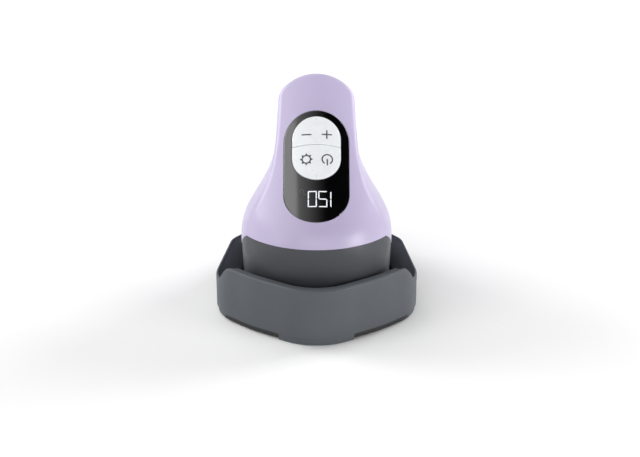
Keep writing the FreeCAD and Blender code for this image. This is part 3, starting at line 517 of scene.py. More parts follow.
for item in frame["record"]["subparts"]:
    node = frame["nodes"][item["node"]]
    node.data.materials.clear()
    node.data.materials.append(MATERIALS[item["material_slot"]])


def finish_piece(obj, body_name, slot, replaces=(), material=None):
    """Give a finished piece its body and its material, named by material or else by slot, and hide
    the nodes it replaces.
    """
    obj.data.name = obj.name
    obj.data.materials.clear()
    obj.data.materials.append(MATERIALS[material or slot])
    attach(obj, body_name)
    if replaces:
        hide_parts(*replaces)


# ---- skin of the press
def closed_over(rings, tip_first=None, tip_last=None):
    """Points and faces of a tube of rings, closed at an end where a tip point is given."""
    cols = len(rings[0])
    verts = np.concatenate(rings)
    faces = grid_faces(len(rings), cols, True)
    for tip, base in ((tip_first, 0), (tip_last, (len(rings) - 1) * cols)):
        if tip is not None:
            verts = np.concatenate([verts, np.reshape(tip, (1, 3))])
            faces += [(base + c, base + (c + 1) % cols, len(verts) - 1) for c in range(cols)]
    return verts, faces


def solid(name, rings, tip_first=None, tip_last=None, smooth_deg=35.0):
    """A closed solid through rings; each end is closed by a fan about its tip or its middle."""
    tip_first = rings[0].mean(axis=0) if tip_first is None else tip_first
    tip_last = rings[-1].mean(axis=0) if tip_last is None else tip_last
    verts, faces = closed_over(rings, tip_first, tip_last)
    return make_object(name, verts, faces, smooth_deg)


def loop_solid(name, rings, smooth_deg=35.0):
    """A closed ring-shaped solid: the last ring of points joins the first."""
    cols = len(rings[0])
    verts, faces = closed_over(rings)
    base = (len(rings) - 1) * cols
    faces += [(base + c, base + (c + 1) % cols, (c + 1) % cols, c) for c in range(cols)]
    return make_object(name, verts, faces, smooth_deg)


def skin_rings(level, heights, crown_rows):
    """Rings of the form from its seam to its crown, and the point on top."""
    rings = [flat_points(z, level) for z in heights]
    origin = spine(np.full(COLUMNS, CROWN_Z))
    for i in range(1, crown_rows):
        lift = math.pi / 2 * i / crown_rows
        rays = FLAT_RAYS * math.cos(lift) + np.array([0, 0, math.sin(lift)])
        rings.append(reach_surface(origin, rays, FAR, level))
    top = reach_surface(origin[:1], np.array([[0.0, 0.0, 1.0]]), FAR, level)
    return rings, top[0]


EDGE = 0.3


def skin_solid(name):
    """The lilac skin above the seam: an outer and an inner face joined at the seam."""
    rows = 96
    heights = [SEAM + EDGE + (CROWN_Z - SEAM - EDGE) * (i / rows) for i in range(rows + 1)]
    outer, top = skin_rings(0.0, heights, 64)
    rounding = [flat_points(SEAM, -EDGE), flat_points(SEAM + EDGE * 0.3, -EDGE * 0.3)]
    rows = 30
    heights = [SEAM + (CROWN_Z - SEAM) * (i / rows) for i in range(rows + 1)]
    inner, under = skin_rings(-WALL, heights, 20)
    verts, faces = closed_over(inner[::-1] + rounding + outer, under, top)
    return make_object(name, verts, faces)


def stadium_line(half, start, end, count):
    """Points round a slot shape in panel coordinates, in even turns about its two ends."""
    points = []
    for i in range(count):
        turn = 2 * math.pi * (i + 0.5) / count
        x = half * math.sin(turn)
        rise = half * math.cos(turn)
        s = (end - half + rise) if rise >= 0 else (start + half + rise)
        points.append((x, s))
    return np.array(points)


def panel_point(x, s, n):
    """Points from panel coordinates: across, uphill along the panel, and outwards from it."""
    steps = zip((x, s, n), (ACROSS, UPHILL, OUTWARD))
    return sum((np.multiply.outer(np.asarray(v, float), axis) for v, axis in steps), FACET)


def on_panel(line, level):
    """Points of the body's surface, moved outwards by level, square above a line on the panel."""
    origins = panel_point(line[:, 0], line[:, 1], np.full(len(line), -14.0))
    return reach_surface(origins, np.tile(OUTWARD, (len(line), 1)), 26.0, level)


def panel_prism(line, low, high):
    """A prism square to the panel over a closed line, between two levels."""
    return solid("prism", [panel_point(line[:, 0], line[:, 1], np.full(len(line), n))
                           for n in (low, high)])


def side_prism(outline):
    """A prism along X over (y, z) points, past both sides of the press."""
    line = np.array(outline)
    ends = [np.stack([np.full(len(line), x), FRONT + line[:, 0], line[:, 1]], axis=1)
            for x in (-FAR, FAR)]
    faces = grid_faces(2, len(line), True)
    faces += [tuple(range(len(line))), tuple(range(len(line), 2 * len(line)))]
    return make_object("prism", np.concatenate(ends), faces)


ROD_SIDES = 48


def disc(x, z, radius, count):
    turn = np.linspace(0, 2 * math.pi, count, endpoint=False)
    return np.stack([x + radius * np.cos(turn), z + radius * np.sin(turn)], axis=1)


def y_rod(x, z, radius, start, end=None):
    """A rod along Y from start to end, or on into the shell's rear wall where no end is given."""
    spot = disc(x, z, radius, ROD_SIDES)
    first = np.stack([spot[:, 0], np.full(len(spot), FRONT + start), spot[:, 1]], axis=1)
    if end is None:
        last = reach_surface(first, np.tile([0.0, 1.0, 0.0], (len(spot), 1)), 120.0, -0.7)
    else:
        last = first.copy()
        last[:, 1] = FRONT + end
    return solid("rod", [first, last])


def merged(name, objects):
    """One mesh object out of several."""
    work = bmesh.new()
    for obj in objects:
        work.from_mesh(obj.data)
        remove(obj)
    mesh = bpy.data.meshes.new(name)
    work.to_mesh(mesh)
    work.free()
    obj = new_object(name, mesh)
    tidy_normals(obj)
    return obj


def cut_away(obj, tools):
    tool = merged("tools", tools)
    boolean(obj, tool, "DIFFERENCE")
    remove(tool)


def add_on(obj, extras):
    extra = merged("extras", extras)
    boolean(obj, extra, "UNION")
    remove(extra)


# Slot shapes on the panel: half width, lower end and upper end.
LENS = (15.4, 6.5, 63.6)
KEYS = (11.4, 28.0, 60.3)
LENS_GAP = 0.1
# Where the front shell meets the rear shell, seen from the side, and half the gap between them.
PARTING = [(29.3, 10.0), (29.3, 43.2), (41.3, 71.5), (60.0, 89.5), (76.0, 102.0), (90.0, 111.0),
           (110, 124)]
HAIRLINE = 0.04
INLET_Z, INLET_R = 46.0, 6.25
# Screw bosses of the rear shell: x, z and the distance back at which they meet the front shell's.
BOSSES = [(-19.0, 51.0, 60.0), (19.0, 51.0, 60.0), (0.0, 98.5, 76.0)]
BOSS_R, SINK_R, BORE_R = 3.4, 2.7, 1.5
SINK_DEPTH = 8.0
BEHIND_ALL = 125.0

rear_skin = skin_solid("rear_skin")
front_skin = copy_of(rear_skin, "front_skin")
ahead = side_prism([(y - HAIRLINE, z + HAIRLINE) for y, z in PARTING]
                   + [(110.0, 150.0), (-30.0, 150.0), (-30.0, 10.0)])
behind = side_prism([(y + HAIRLINE, z - HAIRLINE) for y, z in PARTING]
                    + [(150.0, 124.0), (150.0, 10.0)])
for obj, tool in ((front_skin, ahead), (rear_skin, behind)):
    boolean(obj, tool, "INTERSECT")
    remove(tool)
half, low, high = LENS
lens_line = stadium_line(half + LENS_GAP, low - LENS_GAP, high + LENS_GAP, 160)
cut_away(front_skin, [panel_prism(lens_line, -16, 8)])
add_on(rear_skin, [y_rod(x, z, BOSS_R, meet) for x, z, meet in BOSSES])
cut_away(rear_skin, [y_rod(x, z, SINK_R, meet + SINK_DEPTH, BEHIND_ALL) for x, z, meet in BOSSES]
         + [y_rod(0.0, INLET_Z, INLET_R, 80.0, BEHIND_ALL)])
cut_away(rear_skin, [y_rod(x, z, BORE_R, meet - 2.0, meet + SINK_DEPTH + 1.0)
                     for x, z, meet in BOSSES])
for obj, node in ((front_skin, "front_shell"), (rear_skin, "rear_shell")):
    follow_body(obj)
    finish_piece(obj, "press", "lilac_plastic", [node])


# ---- collar and heated plate
COLLAR_WALL = 2.35


def collar_solid():
    """The grey band under the seam, a little smaller than the skin above it."""
    top = SEAM + 0.02
    low = np.full(COLUMNS, COLLAR_BOTTOM)
    rings = [flat_points(low + 0.5, -COLLAR_STEP - COLLAR_WALL),
             flat_points(low, -COLLAR_STEP - COLLAR_WALL + 0.5),
             flat_points(low, -COLLAR_STEP - 0.5), flat_points(low + 0.15, -COLLAR_STEP - 0.15)]
    rows = 24
    rings += [flat_points(low + 0.5 + (top - low - 0.5) * i / rows, -COLLAR_STEP)
              for i in range(rows + 1)]
    rings += [flat_points(top, -COLLAR_STEP - COLLAR_WALL)]
    return loop_solid("collar_band", rings)


collar = collar_solid()
follow_body(collar, -COLLAR_STEP)
finish_piece(collar, "press", "collar_plastic", ["collar"])

PLATE_INSET = 3.4
PLATE_LOW, PLATE_HIGH = 12.0, 17.0
# Height and further inset of each ring of the sole plate.
PLATE_EDGE = [(PLATE_LOW, 1.4), (PLATE_LOW + 0.1, 0.9), (PLATE_LOW + 0.42, 0.36),
              (PLATE_LOW + 1.0, 0.0), (PLATE_HIGH - 0.3, 0.0), (PLATE_HIGH, 0.3)]
plate = solid("heating_plate_face", [flat_points(np.full(COLUMNS, z), -PLATE_INSET - distance)
                                     for z, distance in PLATE_EDGE])
finish_piece(plate, "press", "aluminium", ["heating_plate"])


# ---- panel lens
def inset(line, distance):
    """A closed line moved inwards by a small distance, keeping its number of points."""
    before = line - np.roll(line, 1, axis=0)
    after = np.roll(line, -1, axis=0) - line
    sides = []
    for step in (before, after):
        length = np.maximum(np.linalg.norm(step, axis=1, keepdims=True), 1e-9)
        sides.append(np.stack([-step[:, 1], step[:, 0]], axis=1) / length)
    area = np.sum(line[:, 0] * np.roll(line[:, 1], -1) - line[:, 1] * np.roll(line[:, 0], -1))
    mean = sides[0] + sides[1]
    mean /= np.maximum(np.sum(mean * sides[1], axis=1, keepdims=True), 0.6)
    return line + mean * distance * (1.0 if area > 0 else -1.0)


def mixed(a, b, share):
    return a * (1 - share) + b * share


LENS_COUNT = 240
LENS_TOP, LENS_UNDER = -0.02, -1.9
KEY_GAP = 0.2
outer_line = stadium_line(*LENS, LENS_COUNT)
half, low, high = KEYS
hole_line = stadium_line(half + KEY_GAP, low - KEY_GAP, high + KEY_GAP, LENS_COUNT)
near_edge = inset(outer_line, 0.45)
near_hole = inset(hole_line, -0.3)
lens_rings = [on_panel(outer_line, LENS_UNDER), on_panel(outer_line, -0.3),
              on_panel(inset(outer_line, 0.1), -0.1), on_panel(inset(outer_line, 0.3), LENS_TOP)]
lens_rings += [on_panel(mixed(near_edge, near_hole, i / 16), LENS_TOP) for i in range(17)]
lens_rings += [on_panel(inset(hole_line, -0.1), -0.07), on_panel(hole_line, -0.25),
               on_panel(hole_line, LENS_UNDER)]
lens = loop_solid("panel_lens_glossy", lens_rings)
follow_body(lens, LENS_TOP)
finish_piece(lens, "press", "lens_black", ["panel_lens"])


# ---- rocking keys
KEY_PROUD = 0.55
KEY_UNDER = -2.0
KEY_RIM = 0.4
PIVOT_N = -6.2
SPLIT_GAP = 0.11
SPLIT_MIDDLE, SPLIT_BOW = 45.8, 1.1


def split_s(x):
    """The line between the two keys, slightly bowed towards the upper key."""
    return SPLIT_MIDDLE - SPLIT_BOW * (x / KEYS[0]) ** 2


def resampled(line, count):
    """The same open line with its points evenly spaced."""
    at = np.concatenate([[0.0], np.cumsum(np.linalg.norm(np.diff(line, axis=0), axis=1))])
    want = np.linspace(0.0, at[-1], count)
    return np.stack([np.interp(want, at, line[:, i]) for i in (0, 1)], axis=1)


def key_outline(upper, distance=0.0):
    """Outline of one key, moved inwards: its part of the slot shape, closed by the split line."""
    sign = 1 if upper else -1
    half, start, end = KEYS
    whole = stadium_line(half - distance, start + distance, end - distance, 1440)
    step = sign * (SPLIT_GAP + distance)
    part = whole[(whole[:, 1] - split_s(whole[:, 0]) - step) * sign > 0]
    part = part[np.argsort(np.arctan2(part[:, 0], (part[:, 1] - 45.2) * sign))]
    x = np.linspace(part[-1, 0], part[0, 0], 62)
    return np.concatenate([resampled(part, 150), np.stack([x, split_s(x) + step], axis=1)])


PIN_SIDES = 24


def uphill_rod(n, radius, start, end):
    """A rod along the panel's slope, at level n."""
    spot = disc(0.0, n, radius, PIN_SIDES)
    return solid("rod", [panel_point(spot[:, 0], np.full(len(spot), s), spot[:, 1])
                         for s in (start, end)])


def key_piece(name, upper, switch_s, pin_ends, node, body_name):
    """One rocking key: a domed cap, two legs over the switches, and its pivot pin on a web."""
    line = key_outline(upper)
    middle = np.array([[0.0, (line[:, 1].min() + line[:, 1].max()) / 2]])
    rings = [on_panel(line, KEY_UNDER), on_panel(line, KEY_PROUD - KEY_RIM)]
    for lean in (22.5, 45.0, 67.5, 90.0):
        a = math.radians(lean)
        rings.append(on_panel(key_outline(upper, KEY_RIM * (1 - math.cos(a))),
                              KEY_PROUD - KEY_RIM * (1 - math.sin(a))))
    shoulder = key_outline(upper, KEY_RIM)
    rings += [on_panel(mixed(shoulder, middle, i / 14), KEY_PROUD) for i in range(1, 14)]
    key = solid(name, rings, on_panel(middle, KEY_UNDER)[0], on_panel(middle, KEY_PROUD)[0])
    start, end = pin_ends
    web = np.array([(-0.8, start + 2.2), (0.8, start + 2.2), (0.8, end - 2.2), (-0.8, end - 2.2)])
    add_on(key, [panel_prism(disc(x, switch_s, 1.5, PIN_SIDES), -8.1, -2.6) for x in (-6.2, 6.2)]
           + [panel_prism(web, PIVOT_N, -1.6)])
    add_on(key, [uphill_rod(PIVOT_N, 1.05, start, end)])
    follow_body(key, KEY_PROUD)
    finish_piece(key, body_name, "key_white", [node])


key_piece("key_mode_cap", False, 37.0, (28.9, 43.7), "rocker_mode", "mode_key")
key_piece("key_adjust_cap", True, 53.0, (47.7, 59.1), "rocker_adjust", "adjust_key")


# ---- marks on keys and display
MARK_DEPTH, MARK_STEP, MARK_SMOOTH = 0.14, 0.5, 25.0


def strip(outline, level):
    """A thin raised patch with the given outline on the panel."""
    line = np.asarray(outline, float)
    rings = [on_panel(line, level - MARK_DEPTH), on_panel(line, level)]
    return solid("strip", rings, smooth_deg=MARK_SMOOTH)


def ribbon_rings(left, right, level):
    """Four lines of points about a patch: down its left side, over it and down its right."""
    low = level - MARK_DEPTH
    return [on_panel(line, n) for line, n in ((left, low), (left, level), (right, level),
                                              (right, low))]


def ribbon(left, right, level):
    """A thin raised patch that follows the panel all the way between two lines of points."""
    rings = np.stack(ribbon_rings(left, right, level), axis=1)
    return solid("ribbon", list(rings), smooth_deg=MARK_SMOOTH)


def ring_patch(x, s, radius, width, start, end, level, count):
    """Part of a ring on the panel, from turn start to turn end, in degrees from uphill."""
    turns = np.radians(np.linspace(start, end, count))
    whole = end - start == 360
    if whole:
        turns = turns[:-1]
    lines = [np.stack([x + r * np.sin(turns), s + r * np.cos(turns)], axis=1)
             for r in (radius - width / 2, radius + width / 2)]
    if whole:
        return loop_solid("ring", ribbon_rings(*lines, level), MARK_SMOOTH)
    return ribbon(*lines, level)


def bar_patch(x0, s0, x1, s1, width, level):
    """A straight bar on the panel from one point to another."""
    along = np.array([x1 - x0, s1 - s0], float)
    length = np.linalg.norm(along)
    along /= length
    side = np.array([-along[1], along[0]]) * width / 2
    steps = max(2, int(length / MARK_STEP))
    middle = np.array([x0, s0]) + np.outer(np.linspace(0.0, length, steps + 1), along)
    return ribbon(middle + side, middle - side, level)


MARK_LEVEL = KEY_PROUD + 0.03
TICK_LEVEL = MARK_LEVEL - 0.01
STROKE, TICK_STROKE = 0.64, 0.22
GEAR = (-4.72, 38.13)
POWER = (5.08, 38.14)
mode_marks = [ring_patch(*GEAR, 1.95, 0.62, 0, 360, MARK_LEVEL, 49)]
for i in range(8):
    turn = math.radians(45.0 * i)
    lean = math.radians(15.0)
    tooth = [(GEAR[0] + r * math.sin(turn + a), GEAR[1] + r * math.cos(turn + a))
             for r, a in ((2.15, -lean), (3.0, -0.06), (3.0, 0.06), (2.15, lean))]
    mode_marks.append(strip(tooth, MARK_LEVEL))
mode_marks.append(ring_patch(*POWER, 2.4, STROKE, -150, 150, MARK_LEVEL, 48))
mode_marks.append(bar_patch(POWER[0], 38.3, POWER[0], 35.1, STROKE, MARK_LEVEL))
adjust_marks = [bar_patch(*ends, STROKE, MARK_LEVEL)
                for ends in ((-6.98, 50.8, -2.33, 50.8), (2.48, 50.9, 7.28, 50.9),
                             (4.88, 48.7, 4.88, 50.56), (4.88, 51.24, 4.88, 53.1))]
for name, marks, material, body_name, slot in (
        ("mode_icons", mode_marks, "key_mark", "mode_key", "component_black"),
        ("adjust_icons", adjust_marks, "key_mark", "adjust_key", "component_black"),
        ("adjust_tick", [bar_patch(0.0, 58.3, 0.0, 59.4, TICK_STROKE, TICK_LEVEL)], "key_tick",
         "adjust_key", "key_white"),
        ("mode_tick", [bar_patch(0.0, 28.7, 0.0, 30.2, TICK_STROKE, TICK_LEVEL)], "key_tick",
         "mode_key", "key_white")):
    finish_piece(merged(name, marks), body_name, slot, (), material)

DIGIT_LOW, DIGIT_MID, DIGIT_HIGH = 14.23, 18.24, 22.25
DIGIT_STROKE, DIGIT_GAP = 0.52, 0.10
SEG_LEVEL = 0.0


def stroke_end(tip, inwards, side, lean):
    """Pairs of left and right points at one end of a stroke, from the tip inwards.

    A lean of 1 or -1 cuts the end along one slope, so that it runs on to the left or to the right
    edge as at a digit's outer corner; 0 cuts it to a point.
    """
    h = DIGIT_STROKE / 2
    if lean:
        return [(tip - inwards * h * lean + side * h, tip + inwards * h * lean - side * h)]
    return [(tip + side * 0.03, tip - side * 0.03),
            (tip + inwards * h + side * h, tip + inwards * h - side * h)]


def stroke(x0, s0, x1, s1, lean0, lean1):
    """One lit stroke of a digit between two corner points."""
    along = np.array([x1 - x0, s1 - s0], float)
    length = np.linalg.norm(along)
    along /= length
    side = np.array([-along[1], along[0]])
    first = stroke_end(np.array([x0, s0]) + along * DIGIT_GAP, along, side, lean0)
    last = stroke_end(np.array([x1, s1]) - along * DIGIT_GAP, -along, side, lean1)[::-1]
    steps = max(2, int(length / MARK_STEP))
    between = [[mixed(a, b, i / steps) for a, b in zip(first[-1], last[0])]
               for i in range(1, steps)]
    left, right = np.array(first + between + last).transpose(1, 0, 2)
    return ribbon(left, right, SEG_LEVEL)


def digit(x0, x1, strokes):
    """The lit strokes of one seven-stroke digit between two sides."""
    h = DIGIT_STROKE / 2
    left, right = x0 + h, x1 - h
    low, mid, high = DIGIT_LOW + h, DIGIT_MID, DIGIT_HIGH - h
    places = {"top": (left, high, right, high, 1, 1), "middle": (left, mid, right, mid, 0, 0),
              "bottom": (left, low, right, low, -1, -1),
              "upper_left": (left, mid, left, high, 0, 1),
              "upper_right": (right, mid, right, high, 0, -1),
              "lower_left": (left, low, left, mid, 1, 0),
              "lower_right": (right, low, right, mid, -1, 0)}
    return [stroke(*places[name]) for name in strokes]


strokes = digit(-3.98, 0.21, ("top", "bottom", "upper_left", "upper_right", "lower_left",
                              "lower_right"))
strokes += digit(0.89, 5.08, ("top", "upper_left", "middle", "lower_right", "bottom"))
strokes += digit(2.76, 6.95, ("upper_right", "lower_right"))
digits = merged("display_digits", strokes)
finish_piece(digits, "press", "key_white", (), "digit_light")
unit = merged("display_unit", [ring_patch(-6.7, 22.3, 0.9, 0.3, -140, 140, SEG_LEVEL, 30),
                               ring_patch(-5.5, 20.6, 0.35, 0.22, 0, 360, SEG_LEVEL, 25)])
finish_piece(unit, "press", "cable_grey", (), "degree_light")


# ---- cord inlet
def revolved(name, profile, x, z):
    """A ring-shaped solid turned about an axis along Y; the profile is (radius, y) points."""
    rings = []
    for radius, y in profile:
        spot = disc(x, z, radius, 96)
        rings.append(np.stack([spot[:, 0], np.full(len(spot), y), spot[:, 1]], axis=1))
    return loop_solid(name, rings, 30.0)


grommet_profile = [(3.5, 39.4), (3.5, 48.9), (3.62, 49.5), (3.95, 49.85), (4.4, 50.0), (5.3, 50.0),
                   (5.75, 49.85), (6.05, 49.5), (6.18, 49.0)]
for y in (48.3, 46.9, 45.5):
    grommet_profile += [(6.18, y), (5.85, y - 0.25), (5.85, y - 0.55), (6.18, y - 0.8)]
grommet_profile += [(6.18, 41.0), (7.6, 41.0), (7.78, 40.8), (7.78, 39.4)]
grommet = revolved("cord_grommet_ribbed", grommet_profile, 0.0, INLET_Z)
finish_piece(grommet, "press", "rubber", ["cord_grommet"])

# ---- dock
DOCK_HALF = [(0.0, -5.0, 28.9), (31.0, 14.0, 60.0), (50.1, 30.36, 22.0), (43.0, 76.0, 12.0),
             (0.0, 127.29, 24.0)]
DOCK_CORNERS = DOCK_HALF + [(-x, y, r) for x, y, r in DOCK_HALF[::-1] if x > 0]
SKIRT_Z, FLOOR_Z, FRONT_RIM, SIDE_RIM, DOCK_WALL = 4.0, 7.0, 29.0, 20.0, 4.0
SKIRT_EDGE = 3.45
OUTLINE_STEP, ARC_STEP = 0.9, 3.0


def rounded_outline(corners):
    """Points round a polygon with rounded corners, and the outward direction at each."""
    spots, outs = [], []
    count = len(corners)
    arcs = []
    for i, (x, y, radius) in enumerate(corners):
        here = np.array([x, FRONT + y])
        towards = [np.array([q[0], FRONT + q[1]]) - here
                   for q in (corners[i - 1], corners[(i + 1) % count])]
        u, v = (t / np.linalg.norm(t) for t in towards)
        half_angle = math.acos(float(u @ v)) / 2
        centre = here + (u + v) / np.linalg.norm(u + v) * radius / math.sin(half_angle)
        start, end = (here + t * radius / math.tan(half_angle) - centre for t in (u, v))
        a = math.atan2(start[1], start[0])
        swing = (math.atan2(end[1], end[0]) - a + math.pi) % (2 * math.pi) - math.pi
        steps = max(4, int(abs(math.degrees(swing)) / ARC_STEP))
        turns = a + swing * np.arange(steps + 1) / steps
        out = np.stack([np.cos(turns), np.sin(turns)], axis=1)
        arcs.append((centre + out * radius, out))
    for i, (points, out) in enumerate(arcs):
        spots.append(points)
        outs.append(out)
        ahead_point = arcs[(i + 1) % count][0][0]
        run = ahead_point - points[-1]
        steps = int(np.linalg.norm(run) / OUTLINE_STEP)
        share = (np.arange(1, steps) / steps)[:, None]
        spots.append(points[-1] + run * share)
        outs.append(np.tile(out[-1], (max(steps - 1, 0), 1)))
    return np.concatenate(spots), np.concatenate(outs)


DOCK_LINE, DOCK_OUT = rounded_outline(DOCK_CORNERS)


def dock_ring(distance, height):
    """The dock's outline moved inwards; height is a number, an array or a function of points."""
    flat = DOCK_LINE - DOCK_OUT * np.reshape(distance, (-1, 1))
    z = height(flat) if callable(height) else height
    return np.column_stack([flat, np.zeros(len(flat)) + z])


def smooth_step(value, start, end):
    share = np.clip((value - start) / (end - start), 0, 1)
    return share * share * (3 - 2 * share)


def rim_height(flat):
    """The rim is high in front and falls in a slope at the wide corners."""
    y = flat[:, 1] - FRONT
    fall = np.clip((y - 24.1) / 6.9, 0, 1)
    return FRONT_RIM - (FRONT_RIM - SIDE_RIM) * (0.25 * smooth_step(fall, 0, 1) + 0.75 * fall)


def lug_height(flat):
    """Height of the skirt's lower edge, which reaches down in a short foot at each wide corner."""
    y = flat[:, 1] - FRONT
    lug = smooth_step(y, 26.2, 27.2) * (1 - smooth_step(y, 44.5, 45.5)) * (np.abs(flat[:, 0]) > 30)
    return SKIRT_EDGE - 0.15 - (SKIRT_EDGE - 0.8) * lug


RAMP_RIM, RAMP_END, RAMP_LOW, POCKET_GAP = 1.4, 12.0, 10.0, 1.5
ALONG = DOCK_LINE[:, 1] - FRONT
BY_SIDE = smooth_step(ALONG, 29.0, 33.0)
BY_RAMP = smooth_step(ALONG, 18.0, 23.0)


def pocket_distance():
    """How far inside the dock's outline the pocket about the press begins."""
    reach = np.full(len(DOCK_LINE), RAMP_END)
    for distance in np.arange(RAMP_END, 3.9, -0.1):
        flat = DOCK_LINE - DOCK_OUT * distance
        clear = body(np.column_stack([flat, np.full(len(flat), 15.5)])) < POCKET_GAP
        reach[clear] = distance
    return reach


def chamfer_height(flat):
    low = lug_height(flat)
    return low + 0.12 + 0.3 * (low < 2.5)


def dock_solid():
    """The tray: skirt and wall, up over the rim, down the ramp to the pocket's floor."""
    rim, lip = 1.15, 0.45
    wall = DOCK_WALL - (DOCK_WALL - RAMP_RIM) * BY_SIDE
    rings = [dock_ring(2.1, SKIRT_Z), dock_ring(2.1, lug_height), dock_ring(1.2, lug_height),
             dock_ring(0.75, chamfer_height)]
    rings += [dock_ring(distance, SKIRT_EDGE + rise)
              for distance, rise in ((0.7, 0.0), (0.3, 0.03), (0.08, 0.14), (0.0, 0.4))]
    for share in (0.25, 0.5, 0.75):
        rings.append(dock_ring(0.0, lambda flat: SKIRT_EDGE
                               + (rim_height(flat) - rim - SKIRT_EDGE) * share))
    outer = np.minimum(rim, wall - lip - 0.05)
    for lean in (0, 15, 30, 45, 60, 75, 90):
        a = math.radians(lean)
        rings.append(dock_ring(outer * (1 - math.cos(a)),
                               lambda flat: rim_height(flat) - outer * (1 - math.sin(a))))
    for lean in (90, 60, 30, 0):
        a = math.radians(lean)
        rings.append(dock_ring(wall - lip * (1 - math.cos(a)),
                               lambda flat: rim_height(flat) - lip * (1 - math.sin(a))))
    fall = (SIDE_RIM - RAMP_LOW) / (RAMP_END - RAMP_RIM)
    slope = SIDE_RIM - (wall - RAMP_RIM) * fall - 0.6
    pocket = np.maximum(mixed(DOCK_WALL + 0.25, pocket_distance(), BY_RAMP), wall + 0.25)
    ramp_top = mixed(FLOOR_Z + 1.0, slope, BY_RAMP)
    ramp_foot = mixed(FLOOR_Z + 0.6, SIDE_RIM - (pocket - RAMP_RIM) * fall, BY_RAMP)
    for share in (0.3, 0.65, 1.0):
        rings.append(dock_ring(wall, lambda flat: mixed(rim_height(flat) - lip, ramp_top, share)))
    for share in (0.06, 0.35, 0.65, 0.94, 1.0):
        rings.append(dock_ring(mixed(wall, pocket, share), mixed(ramp_top, ramp_foot, share)))
    rings.append(dock_ring(pocket + 0.02, mixed(ramp_foot, FLOOR_Z + 0.3, 0.6)))
    rings += [dock_ring(pocket + distance, FLOOR_Z + rise)
              for distance, rise in ((0.03, 0.3), (0.1, 0.1), (0.35, 0.0))]
    middle_y = FRONT + 58.0
    return solid("dock_tray", rings, np.array([0.0, middle_y, SKIRT_Z]),
                 np.array([0.0, middle_y, FLOOR_Z]), 32.0)


dock = dock_solid()
finish_piece(dock, "dock", "dock_plastic", ["dock_shell"])
band_profile = ((0.95, 3.25), (0.95, 1.0), (1.05, 0.8), (1.25, 0.7), (2.7, 0.7), (2.7, 3.25))
band = loop_solid("base_band", [dock_ring(distance, z) for distance, z in band_profile])
finish_piece(band, "dock", "dark_plastic")


def rounded_slab(name, line, low, high, low_edge, high_edge):
    """A flat piece with rounded lower and upper edges."""
    line = np.asarray(line, float)
    rings = []
    for edge, base, sign in ((low_edge, low, 1.0), (high_edge, high, -1.0)):
        part = []
        for lean in (0, 30, 60, 90):
            a = math.radians(lean)
            z = base + sign * edge * (1 - math.cos(a))
            part.append(np.column_stack([inset(line, edge * (1 - math.sin(a))),
                                         np.full(len(line), z)]))
        rings += part if sign > 0 else part[::-1]
    return solid(name, rings)


FOOT_HALF, FOOT_BACK = 17.75, FRONT + 14.0
front_line = DOCK_LINE - DOCK_OUT * 0.85
front_line = front_line[(np.abs(front_line[:, 0]) < FOOT_HALF) & (front_line[:, 1] < FOOT_BACK)]
front_line = front_line[np.argsort(front_line[:, 0])]
foot_line = np.concatenate([front_line, [(FOOT_HALF, front_line[-1, 1] + 0.5),
                                         (FOOT_HALF, FOOT_BACK), (-FOOT_HALF, FOOT_BACK),
                                         (-FOOT_HALF, front_line[0, 1] + 0.5)]])
foot = rounded_slab("front_foot", foot_line, 0.0, SKIRT_EDGE - 0.2, 0.5, 0.25)
finish_piece(foot, "dock", "dock_plastic", ["foot_front"])


# ---- camera, light and floor
AIM = (0.0, 0.0, 0.05)
camera_data = bpy.data.cameras.new("camera")
camera_data.lens = 85.0
camera_data.sensor_width = 36.0
camera_data.clip_start = 0.01
camera = new_object("camera", camera_data)
camera.location = (0.001675, -0.671021, 0.347120)
target = Vector((0.001675, 0.0, 0.034218))
camera.rotation_euler = (target - camera.location).to_track_quat("-Z", "Y").to_euler()
bpy.context.scene.camera = camera
bpy.context.scene.view_settings.view_transform = "Standard"


def softbox(name, place, width, height, power):
    """A rectangular light aimed at the middle of the press."""
    light = bpy.data.lights.new(name, "AREA")
    light.shape = "RECTANGLE"
    light.size = width
    light.size_y = height
    light.energy = power
    obj = new_object(name, light)
    obj.location = place
    obj.rotation_euler = (Vector(AIM) - Vector(place)).to_track_quat("-Z", "Y").to_euler()


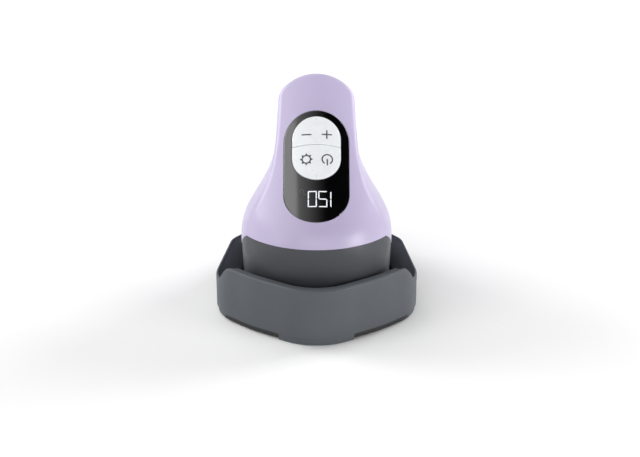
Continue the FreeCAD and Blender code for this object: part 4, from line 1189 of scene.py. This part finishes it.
softbox("left_softbox", (-1.10, -0.30, 1.20), 0.95, 0.95, 3.0)
softbox("left_rear_softbox", (-1.30, 0.55, 0.75), 0.7, 0.7, 12.4)
softbox("left_low_softbox", (-1.45, -0.75, 0.45), 0.7, 0.7, 4.2)
softbox("right_rear_softbox", (1.25, 0.80, 0.75), 0.7, 0.7, 16.2)
softbox("right_low_softbox", (1.50, -0.75, 0.32), 0.7, 0.55, 15.0)
softbox("front_softbox", (0.0, -1.7, 0.70), 1.6, 0.6, 7.9)
softbox("top_softbox", (0.0, 0.50, 1.50), 1.2, 0.7, 3.0)


def studio_world(horizon, ceiling):
    """Pale walls under a ceiling that is lit on the left and dark on the right."""
    world = bpy.data.worlds.new("studio")
    bpy.context.scene.world = world
    world.use_nodes = True
    tree = world.node_tree
    tree.nodes.clear()
    out = tree.nodes.new("ShaderNodeOutputWorld")
    sky = tree.nodes.new("ShaderNodeBackground")
    where = tree.nodes.new("ShaderNodeTexCoord")
    parts = tree.nodes.new("ShaderNodeSeparateXYZ")
    fade = tree.nodes.new("ShaderNodeMapRange")
    fade.interpolation_type = "SMOOTHSTEP"
    across = tree.nodes.new("ShaderNodeMapRange")
    across.interpolation_type = "SMOOTHSTEP"
    for node, values in ((across, (0.25, -0.55, 0.0, ceiling)), (fade, (0.05, 0.62, horizon, 0.0))):
        for key, value in zip(RANGE_ENDS, values):
            node.inputs[key].default_value = value
    tree.links.new(parts.outputs["X"], across.inputs["Value"])
    tree.links.new(across.outputs["Result"], fade.inputs["To Max"])
    tree.links.new(where.outputs["Generated"], parts.inputs["Vector"])
    tree.links.new(parts.outputs["Z"], fade.inputs["Value"])
    tree.links.new(fade.outputs["Result"], sky.inputs["Strength"])
    tree.links.new(sky.outputs["Background"], out.inputs["Surface"])


studio_world(0.25, 1.0)

FLOOR_HALF = 4000.0
floor_line = np.linspace(-FLOOR_HALF, FLOOR_HALF, 9)
floor_points = np.array([(x, y, -0.02) for y in floor_line for x in floor_line])
floor = make_object("floor", floor_points, grid_faces(9, 9, False))
paint = Paint("pale_floor")
paint.set(IOR=1.3)
paint.colour(paint.noise(1.5, 2.0), (0.93, 0.93, 0.93), (0.95, 0.95, 0.95))
paint.rough(paint.noise(30.0, 3.0), 0.65, 0.75)
floor.data.materials.append(paint.material)
